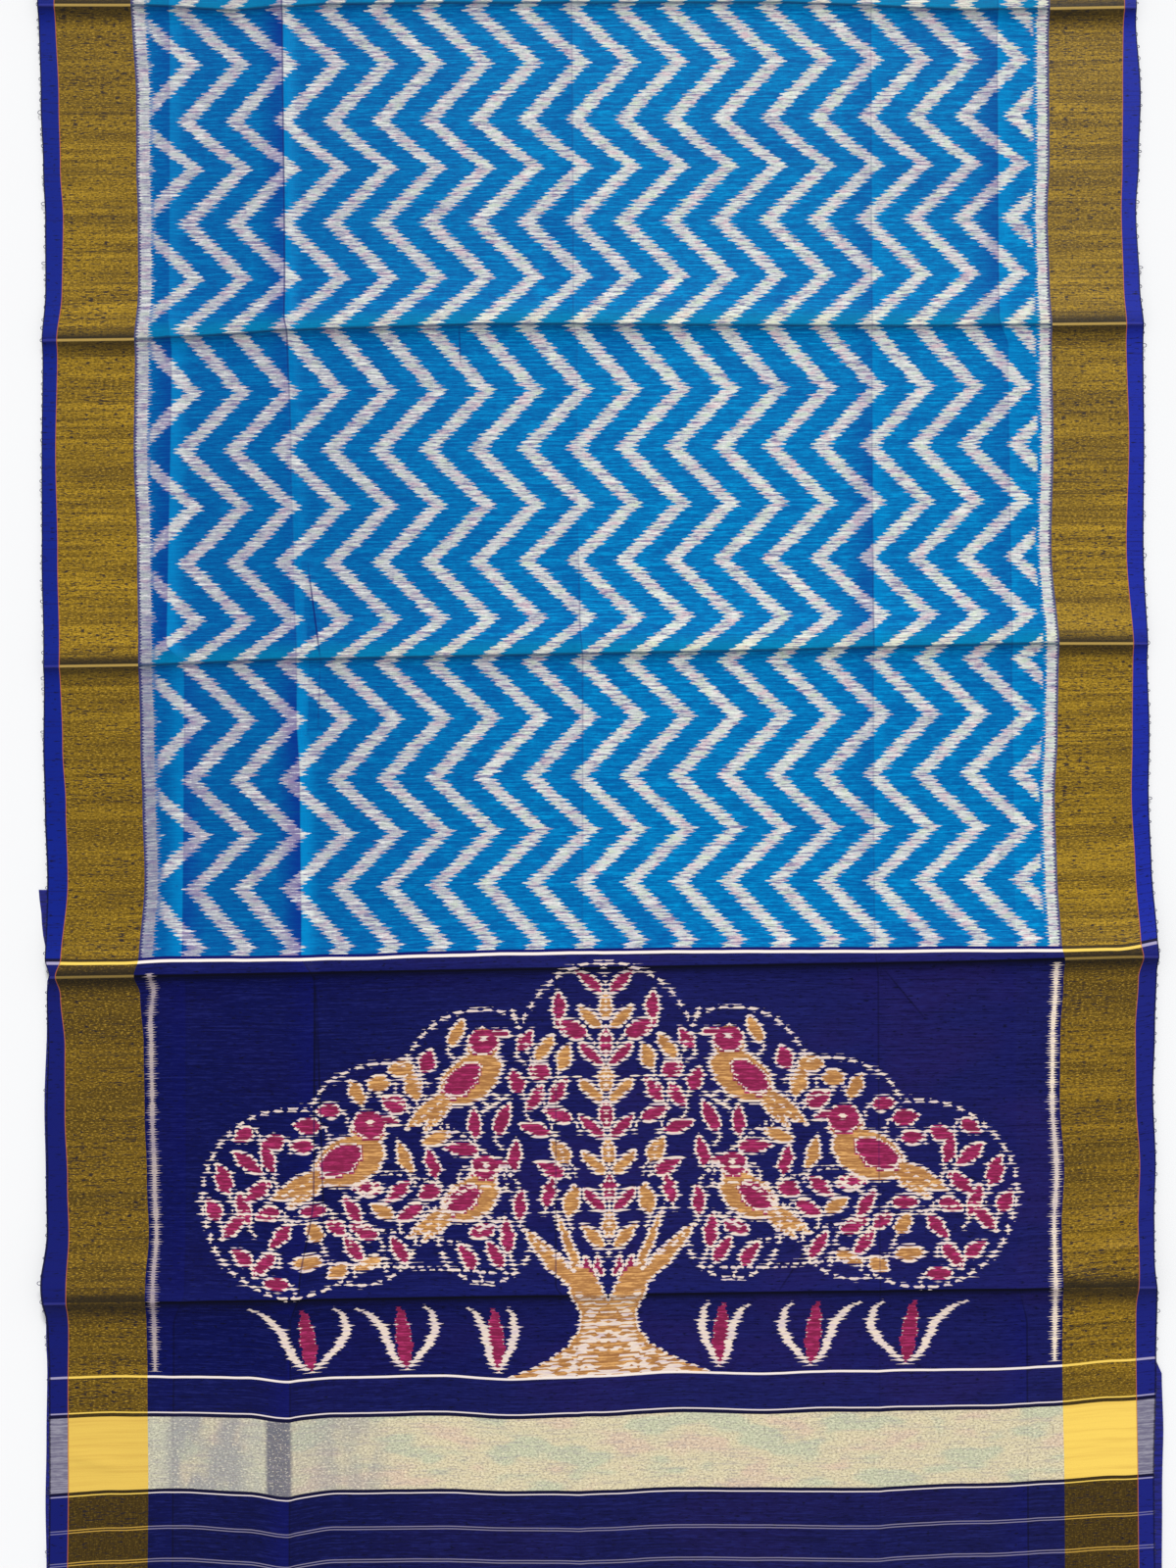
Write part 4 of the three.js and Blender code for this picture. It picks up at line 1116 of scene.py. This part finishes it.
def roomFor(figure, base, tip, width):  # whether a leaf fits clear of what is drawn
    points = [np.array(base) + (np.array(tip) - np.array(base)) * t for t in (-0.08, 0.25, 0.5, 0.75, 1.08)]
    normal = np.array([-(tip[1] - base[1]), tip[0] - base[0]]) / math.dist(base, tip) * width
    for point in [*points, points[2] + normal, points[2] - normal, points[1] + normal, points[3] - normal]:
        i = min(int(abs(point[0]) / tree["column"]), len(figure["a"]) - 1)
        j = int(np.clip(point[1] / rowHeight * tree["samples"], 0, len(figure["b"]) - 1))
        if figure["leaf"][j, i] < tree["leafRoom"] or point[0] < 7:
            return False
    return True


def insideCanopy(point, margin):
    return max(r - math.dist(point, c) for c, r in tree["lobes"]) > margin


def growBough(figure, start, bend, end, step, size):
    line = curve(start, bend, end, 60)
    walked = np.concatenate([[0], np.cumsum(np.linalg.norm(np.diff(line, axis=0), axis=1))])
    addStroke(figure, line[20:], 0.9, 9)
    side, count = 1, 0
    for place in np.arange(0.3 * step, walked[-1] - 0.3 * step, step / 2):
        i = min(np.searchsorted(walked, place), len(line) - 2)
        along = (line[i + 1] - line[i]) / np.linalg.norm(line[i + 1] - line[i])
        turn = math.radians(48 + 10 * chance.random()) * side
        out = np.array([along[0] * math.cos(turn) - along[1] * math.sin(turn),
                        along[0] * math.sin(turn) + along[1] * math.cos(turn)])
        base, tip = line[i] + out * 6, line[i] + out * (6 + size)
        if roomFor(figure, base, tip, 7) and insideCanopy(tip, 6):
            addLeaf(figure, base, tip, size * 0.23, ochre if count % 4 == 3 else magenta)
            addStroke(figure, [line[i], base], 1.1)
            count += 1
        side = -side
    along = (line[-1] - line[-2]) / np.linalg.norm(line[-1] - line[-2])
    tip = line[-1] + along * size
    if roomFor(figure, line[-1] + along, tip, 7) and insideCanopy(tip, 6):
        addLeaf(figure, line[-1], tip, size * 0.25, ochre)


def addBird(figure, place, size, tilt):  # it looks towards the stem
    c, s = math.cos(math.radians(tilt)), math.sin(math.radians(tilt))

    def at(p, q):  # p towards its beak, q towards its back
        return (place[0] - size * (p * c - q * s), place[1] + size * (p * s + q * c))
    for root, tip, width in (((-0.5, 0.0), (-2.2, -0.12), 0.24), ((-0.5, -0.1), (-1.9, -0.48), 0.17)):
        addLeaf(figure, at(*root), at(*tip), width * size, ochre)
    part, a, b = near(figure, [at(-1, -1), at(1, 1)], size)
    join(figure, part, ovalGap(a, b, place, (0.92 * size, 0.6 * size), -tilt), ochre)
    join(figure, part, ovalGap(a, b, at(0.72, 0.5), (0.44 * size, 0.4 * size), 0), ochre)
    cover(figure, part, ovalGap(a, b, at(-0.2, 0.1), (0.62 * size, 0.36 * size), -tilt - 8), magenta)
    cover(figure, part, ovalGap(a, b, at(0.82, 0.62), (0.42 * size, 0.37 * size), 0), magenta)
    addLeaf(figure, at(1.05, 0.7), at(1.56, 0.32), 0.12 * size, magenta)
    addStroke(figure, [at(0.84, 0.66), at(0.9, 0.66)], 2.2)
    for start, end in ((-0.7, -0.02), (-2.0, -0.14)), ((-0.8, -0.24), (-1.7, -0.44)):
        addStroke(figure, [at(*start), at(*end)], 0.7, 11)
    for step in (-0.12, 0.2):
        addStroke(figure, [at(step, -0.55), at(step + 0.12, -0.9)], 1.1)
        addStroke(figure, [at(step - 0.1, -0.92), at(step + 0.3, -0.9)], 1.2)


def addTrunk(figure):
    a, b = figure["a"][None, :] + figure["slip"][:, None], figure["b"][:, None]
    halves = np.interp(b, [p[0] for p in tree["trunk"]], [p[1] for p in tree["trunk"]])
    low, spread = tree["crotch"]
    gap = np.maximum(np.maximum(a - halves, spread * (b - low) - a), b - tree["crown"])
    join(figure, (slice(None), slice(None)), np.maximum(gap, -18) + 0 * a, ochre)
    for root, tip, width in tree["limbs"]:
        addLeaf(figure, root, tip, width, ochre)
    for _ in range(tree["flecks"]):  # pale, thickest at the foot
        height = 86 * chance.random() ** 1.5
        reach = np.interp(height, [p[0] for p in tree["trunk"]], [p[1] for p in tree["trunk"]]) - 6
        start = chance.uniform(-0.05, 0.95) * reach
        row = figure["b"][int(height / rowHeight * tree["samples"])]
        addStroke(figure, [(start, row), (min(start + chance.uniform(2, 11), reach), row)], 0.5)
    for side in (6, 14):
        addLeaf(figure, (side, 104), (side + 2 + 0.8 * side, 128), 4.5, magenta)


def addCanopy(figure):
    a, b = figure["a"][None, :] + figure["slip"][:, None], figure["b"][:, None]
    gaps = np.stack([np.hypot(a - c[0], b - c[1]) - r for c, r in tree["lobes"]])
    nearest = gaps.argmin(0)[None]
    along = np.stack([np.arctan2(b - c[1], a - c[0]) * r for c, r in tree["lobes"]])
    along = np.take_along_axis(along, nearest, 0)[0]
    rim = np.abs(gaps.min(0)) - 1.1
    rim = np.where((along / 15) % 1 < 0.7, rim, np.maximum(rim, 3))
    rim = np.where((b < 116) & (a < 62), tree["far"], rim)
    figure["stroke"] = np.minimum(figure["stroke"], rim)


def fillCanopy(figure):  # leaves wherever one still fits, fanned out from the fork
    for _ in range(tree["leafTries"]):
        foot = np.array([chance.uniform(4, 430), chance.uniform(100, 436)])
        if not insideCanopy(foot, 9):
            continue
        out = math.atan2(foot[1] - 60, foot[0]) + math.radians(chance.uniform(-65, 65))
        length, width = chance.uniform(*tree["leafLength"]), chance.uniform(*tree["leafWidth"])
        tip = foot + length * np.array([math.cos(out), math.sin(out)])
        if tip[0] < 8 or not insideCanopy(tip, 6) or not roomFor(figure, foot, tip, width):
            continue
        addLeaf(figure, foot, tip, width, ochre if chance.random() < tree["ochreShare"] else magenta)
        addStroke(figure, curve(foot, foot - 7 * (tip - foot) / length, foot - (6, 13), 6), 0.8)


def drawTree():
    figure = newFigure()
    addTrunk(figure)
    for place, size, tilt in tree["birds"]:
        addBird(figure, place, size, tilt)
    birdsAndTrunk, ownStrokes = figure["leaf"].copy(), figure["stroke"].copy()
    for k, height in enumerate(np.arange(140, 425, 19)):  # a bud and a pair of leaves by turns, up the stem
        if k % 2:
            addLeaf(figure, (0, height - 15), (0, height + 15), 8.2, ochre if k % 4 == 1 else magenta)
        else:
            addLeaf(figure, (4, height - 6), (30, height + 19), 7, magenta if k % 4 else ochre)
    addStroke(figure, [(0, 128), (0, 430)], 1.2, 9)
    boughs = [
        {"start": (40, 112), "bend": (150, 108), "end": (300, 122)},
        {"start": (46, 114), "bend": (180, 150), "end": (396, 176)},
        {"start": (40, 116), "bend": (170, 236), "end": (330, 214)},
        {"start": (30, 116), "bend": (120, 262), "end": (252, 300)},
        {"start": (18, 116), "bend": (50, 250), "end": (98, 384)},
        {"start": (120, 200), "bend": (190, 260), "end": (206, 340)},
    ]
    for bough in boughs:
        growBough(figure, **bough, step=50, size=34)
    fillCanopy(figure)
    figure["stroke"] = np.where(birdsAndTrunk < 1.5, ownStrokes, figure["stroke"])  # boughs pass behind them
    addCanopy(figure)
    for foot, spread in tree["sprigs"]:
        for side, name in ((1, "outerBlade"), (-1, "innerBlade")):
            bend, middle, upper, tip = [(foot + side * p * spread, q) for p, q in tree[name]]
            line = np.concatenate([curve((foot, 7), bend, middle, 8), curve(middle, upper, tip, 7)[1:]])
            for k, (p, q) in enumerate(zip(line, line[1:])):
                addStroke(figure, [p, q], 4.2 * math.sin(math.pi * (k + 0.7) / 14) ** 0.8 - 0.5)
        addLeaf(figure, (foot, 12), (foot + 0.2 * spread, 72), 6, magenta, 4)
    return figure


def figureValues(figure):  # leaf, stroke, hue and raggedness, with leaves in whole woven rows, and the rims
    count, far = tree["samples"], tree["far"]
    wide = figure["leaf"].reshape(tree["rows"], count, -1).mean(1)
    upright = np.repeat(np.abs(np.gradient(wide, tree["column"], axis=1)), count, 0)
    upright = np.maximum(upright, np.abs(np.gradient(figure["stroke"], tree["column"], axis=1)))
    wild = np.repeat(chance.uniform(0.6, 1.3, tree["rows"]), count)[:, None]
    leaf, hue = np.repeat(wide, count, 0), np.repeat(figure["hue"][count // 2::count], count, 0)
    values = [np.clip(leaf, -far, far) / 10, np.clip(figure["stroke"], -far, far) / 10, hue,
              np.clip(upright, 0.15, 1) * wild]
    return np.stack(values, -1), np.clip(figure["ring"], -far, far) / 10


def makePallu():
    values, ring = figureValues(drawTree())
    rows = np.linspace(cloth["bands"], cloth["pallu"], len(ring) + 1)
    steps = np.arange(0, values.shape[1]) * tree["column"]
    for name, side, edge in (("pallu_left", -1, fieldStart), ("pallu_right", 1, fieldEnd)):
        room = abs(edge - tree["axis"])
        columns = tree["axis"] + side * np.append(steps[steps < room - 0.6], room)
        order = np.argsort(columns)
        mesh, column, row = gridMesh(name, len(columns) - 1, len(rows) - 1)
        u, s = columns[order][column], rows[row]
        corners = cornerVertices(mesh)
        centres = np.empty(len(mesh.polygons) * 3)
        mesh.polygons.foreach_get("center", centres)
        faceRow = np.repeat(((centres.reshape(-1, 3)[:, 1] + 0.5) * len(ring)).astype(int), 4)
        place = np.minimum(order[column][corners], ring.shape[1] - 1)
        drawn = mesh.attributes.new("figure", "FLOAT_COLOR", "CORNER")
        drawn.data.foreach_set("color", values[faceRow, place].astype(np.float32).ravel())
        inner = mesh.attributes.new("ring", "FLOAT", "CORNER")
        inner.data.foreach_set("value", ring[faceRow, place].astype(np.float32))
        piece = finishCloth(mesh, onCloth(u, s), u, s, zigzagPhase(s), cloth["silk"])
        piece.data.materials.append(silks["pallu_silk"])
        declare(piece, "pallu_field")


def makeBands():
    piece = clothPiece("end_cloth", columnsBetween(fieldStart, fieldEnd),
                       stationsBetween(cloth["looseEnd"], cloth["bands"], 2.6, 7))
    piece.data.materials.append(silks["band_silk"])
    declare(piece, "end_bands")


def makeBorders():
    stretches = [("end", cloth["looseEnd"], cloth["pallu"]), ("near", cloth["pallu"], 400),
                 ("far", 400, turnEnd)]
    for side, start in (("left", cloth["selvage"]), ("right", fieldEnd)):
        for name, low, high in stretches:
            coarse, count = (2.6, 33) if name == "end" else (6, 13)
            columns = np.linspace(start, start + cloth["border"], count)
            piece = clothPiece(f"border_{side}_{name}", columns, stationsBetween(low, high, 2.6, coarse))
            piece.data.materials.append(silks["border_silk"])
            declare(piece, f"border_{side}")


def makeSelvages():
    for side, start in (("left", 0), ("right", cloth["width"] - cloth["selvage"])):
        columns = np.linspace(start, start + cloth["selvage"], 6)
        for name, low, high in (("near", cloth["looseEnd"], 0), ("far", 0, turnEnd)):
            piece = clothPiece(f"selvage_{side}_{name}", columns, stationsBetween(low, high, 2.6, 6))
            piece.data.materials.append(silks["selvage_silk"])
            declare(piece, f"selvage_{side}")


makeBody()
print("body done")
makePallu()
print("pallu done")
makeBands()
makeBorders()
makeSelvages()
print("bands, borders and selvages done")


# The layers beneath, one length of cloth from the far fold's tail to the inner end
under = {"thickness": 0.9, "step": 12, "columns": 10}


def underAlong():  # how far along, which layer and how high
    top = turnStart - cloth["tail"] - cloth["seam"]
    half, centre, step = under["thickness"] / 2, cloth["layer"] - cloth["bite"] / 2, under["step"]
    middle = cloth["nearFold"] + centre
    back = [(y, hiddenTop(y) - half, 0.0) for y in np.arange(top, middle, -step)]
    turn = [(middle - (centre - half) * math.sin(t), centre + (centre - half) * math.cos(t), t / math.pi)
            for t in np.linspace(0, math.pi, 9)]
    forth = [(y, half + 0.05, 1.0) for y in np.arange(middle + step, cloth["lowestEnd"] + 1, step)]
    return [*back, *turn, *forth]


def makeUnder():
    rows = underAlong()
    half = next(i for i, row in enumerate(rows) if row[0] < 0)
    for name, some in (("under_far", rows[:half + 1]), ("under_near", rows[half:])):
        mesh, column, row = gridMesh(name, under["columns"], len(some) - 1)
        y, z, turned = (np.array(values)[row] for values in zip(*some))
        peekLeft, peekRight = (
            readTable(peeks, "upper" + side, y) * (1 - turned) + readTable(peeks, "lower" + side, y) * turned
            for side in ("Left", "Right"))
        left, right = readTable(edges, "left", y) - peekLeft, readTable(edges, "right", y) + peekRight
        share = column / under["columns"]
        points = np.stack([left + (right - left) * share, y, z], -1)
        piece = finishCloth(mesh, points, share * cloth["width"], y, 0 * y, under["thickness"])
        piece.modifiers["silk"].offset = 0
        piece.data.materials.append(silks["under_silk"])
        declare(piece, "hidden_layers")


underLook = {
    "blue": (28, 32, 128), "dark": (16, 18, 74), "gold": borderLook["gold"], "azure": bodyLook["azure"],
    "shine": 0.2, "sheen": 0.05, "sheenTint": (120, 120, 255), "rough": 0.55, "relief": 0.4,
}


def underSilk():
    look = underLook
    material, nodes, shader, _, place, yarn = newMaterial("underSilk", look)
    base = mixColour(nodes, between(nodes, yarn["Tone"], 0.35, 0.65), look["dark"], look["blue"])
    fromEdge = smaller(nodes, place["X"], minus(nodes, cloth["width"] * mm, place["X"]))
    gold = times(nodes, maths(nodes, "GREATER_THAN", fromEdge, cloth["selvage"] * mm),
                 maths(nodes, "LESS_THAN", fromEdge, fieldStart * mm))
    field = maths(nodes, "GREATER_THAN", fromEdge, fieldStart * mm)
    base = layered(nodes, look, base, [(gold, 1, "gold"), (field, 1, "azure")])
    finishMaterial(nodes, shader, look, base, yarn)
    return material


silks["under_silk"] = underSilk()
makeUnder()
print("layers beneath done")


# Weft loops and knots along the selvages
threadEnds = {
    "every": 13, "radius": 0.35, "out": 1.6, "longShare": 0.12, "dark": (10, 10, 34), "blue": (40, 38, 96),
}


def makeThreadEnds():
    chance = np.random.default_rng(11)
    data = bpy.data.curves.new("selvage_threads", "CURVE")
    data.dimensions = "3D"
    data.bevel_depth = threadEnds["radius"] * mm
    data.bevel_resolution = 1
    data.resolution_u = 3
    for side, u in (("left", 0.6), ("right", cloth["width"] - 0.6)):
        outward = -1 if side == "left" else 1
        for s in np.arange(cloth["looseEnd"] + 6, turnStart - 6, threadEnds["every"]):
            s = s + chance.uniform(-5, 5)
            long = chance.random() < threadEnds["longShare"]
            reach = threadEnds["out"] * chance.uniform(0.5, 1.2) * (2.2 if long else 1)
            width = chance.uniform(1.5, 5)
            root = onCloth(np.array([u]), np.array([s]))[0]
            drop = -0.4 if long else 0
            places = [(0, -width / 2, -0.2), (outward * reach, -width / 4, drop),
                      (outward * reach * 1.05, width / 4, drop), (0, width / 2, -0.2)]
            spline = data.splines.new("BEZIER")
            spline.bezier_points.add(len(places) - 1)
            for point, offset in zip(spline.bezier_points, places):
                point.co = [(r + o) * mm for r, o in zip(root, offset)]
                point.handle_left_type = point.handle_right_type = "AUTO"
    holder = bpy.data.objects.new("selvage_threads", data)
    scene.collection.objects.link(holder)
    mesh = bpy.data.meshes.new_from_object(holder.evaluated_get(bpy.context.evaluated_depsgraph_get()))
    bpy.data.objects.remove(holder)
    mesh.name = "selvage_threads"
    piece = bpy.data.objects.new("selvage_threads", mesh)
    scene.collection.objects.link(piece)
    piece.data.materials.clear()
    piece.data.materials.append(silks["thread"])
    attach(piece, bodyName)


def threadSilk():
    material = bpy.data.materials.new("threadSilk")
    material.use_nodes = True
    nodes = material.node_tree
    shader = nodes.nodes["Principled BSDF"]
    shader.inputs["Roughness"].default_value = 0.6
    place = addNode(nodes, "ShaderNodeTexCoord").outputs["Object"]
    tone = noise(nodes, place, 400, 2)
    base = mixColour(nodes, tone, threadEnds["dark"], threadEnds["blue"])
    nodes.links.new(base, shader.inputs["Base Color"])
    return material


silks["thread"] = threadSilk()
makeThreadEnds()
print("selvage threads done")


# Floor, light and camera
studio = {
    "floorSize": 12, "floor": (0.78, 0.78, 0.785, 1), "sky": (0.98, 0.99, 1, 1), "skyStrength": 0.56,
    "sun": (-0.12, -1, -0.8), "sunStrength": 3.4, "sunSpread": 16,
    "cameraHeight": 1.9, "cameraTilt": 1.3, "aim": (-0.008, -0.173), "sensor": 36,
    "frameHeight": 1600 * 1.034 * mm,  # 1.034 mm to a pixel of the photo
}


def makeFloor():
    bm = bmesh.new()
    bmesh.ops.create_grid(bm, x_segments=4, y_segments=4, size=studio["floorSize"])
    mesh = bpy.data.meshes.new("floor")
    bm.to_mesh(mesh)
    bm.free()
    floor = bpy.data.objects.new("floor", mesh)
    scene.collection.objects.link(floor)
    paint = bpy.data.materials.new("floorPaint")
    paint.use_nodes = True
    shader = paint.node_tree.nodes["Principled BSDF"]
    shader.inputs["Base Color"].default_value = studio["floor"]
    shader.inputs["Roughness"].default_value = 0.9
    shader.inputs["Specular IOR Level"].default_value = 0.1
    mesh.materials.append(paint)


def makeLights():
    world = bpy.data.worlds.new("studio")
    world.use_nodes = True
    world.node_tree.nodes["Background"].inputs["Color"].default_value = studio["sky"]
    world.node_tree.nodes["Background"].inputs["Strength"].default_value = studio["skyStrength"]
    scene.world = world
    lamp = bpy.data.lights.new("window", "SUN")
    lamp.energy = studio["sunStrength"]
    lamp.angle = math.radians(studio["sunSpread"])
    light = bpy.data.objects.new("window", lamp)
    light.rotation_euler = Vector(studio["sun"]).to_track_quat("-Z", "Y").to_euler()
    scene.collection.objects.link(light)


def makeCamera():
    camera = bpy.data.cameras.new("camera")
    camera.sensor_width = studio["sensor"]
    camera.lens = studio["sensor"] * studio["cameraHeight"] / studio["frameHeight"]
    camera.clip_start = 0.05
    holder = bpy.data.objects.new("camera", camera)
    tilt, away, (x, y) = math.radians(studio["cameraTilt"]), studio["cameraHeight"], studio["aim"]
    holder.location = (x, y - away * math.sin(tilt), away * math.cos(tilt))
    holder.rotation_euler = (tilt, 0, 0)
    scene.collection.objects.link(holder)
    scene.camera = holder


makeFloor()
makeLights()
makeCamera()
scene.view_settings.view_transform = "Standard"
print("stage done")
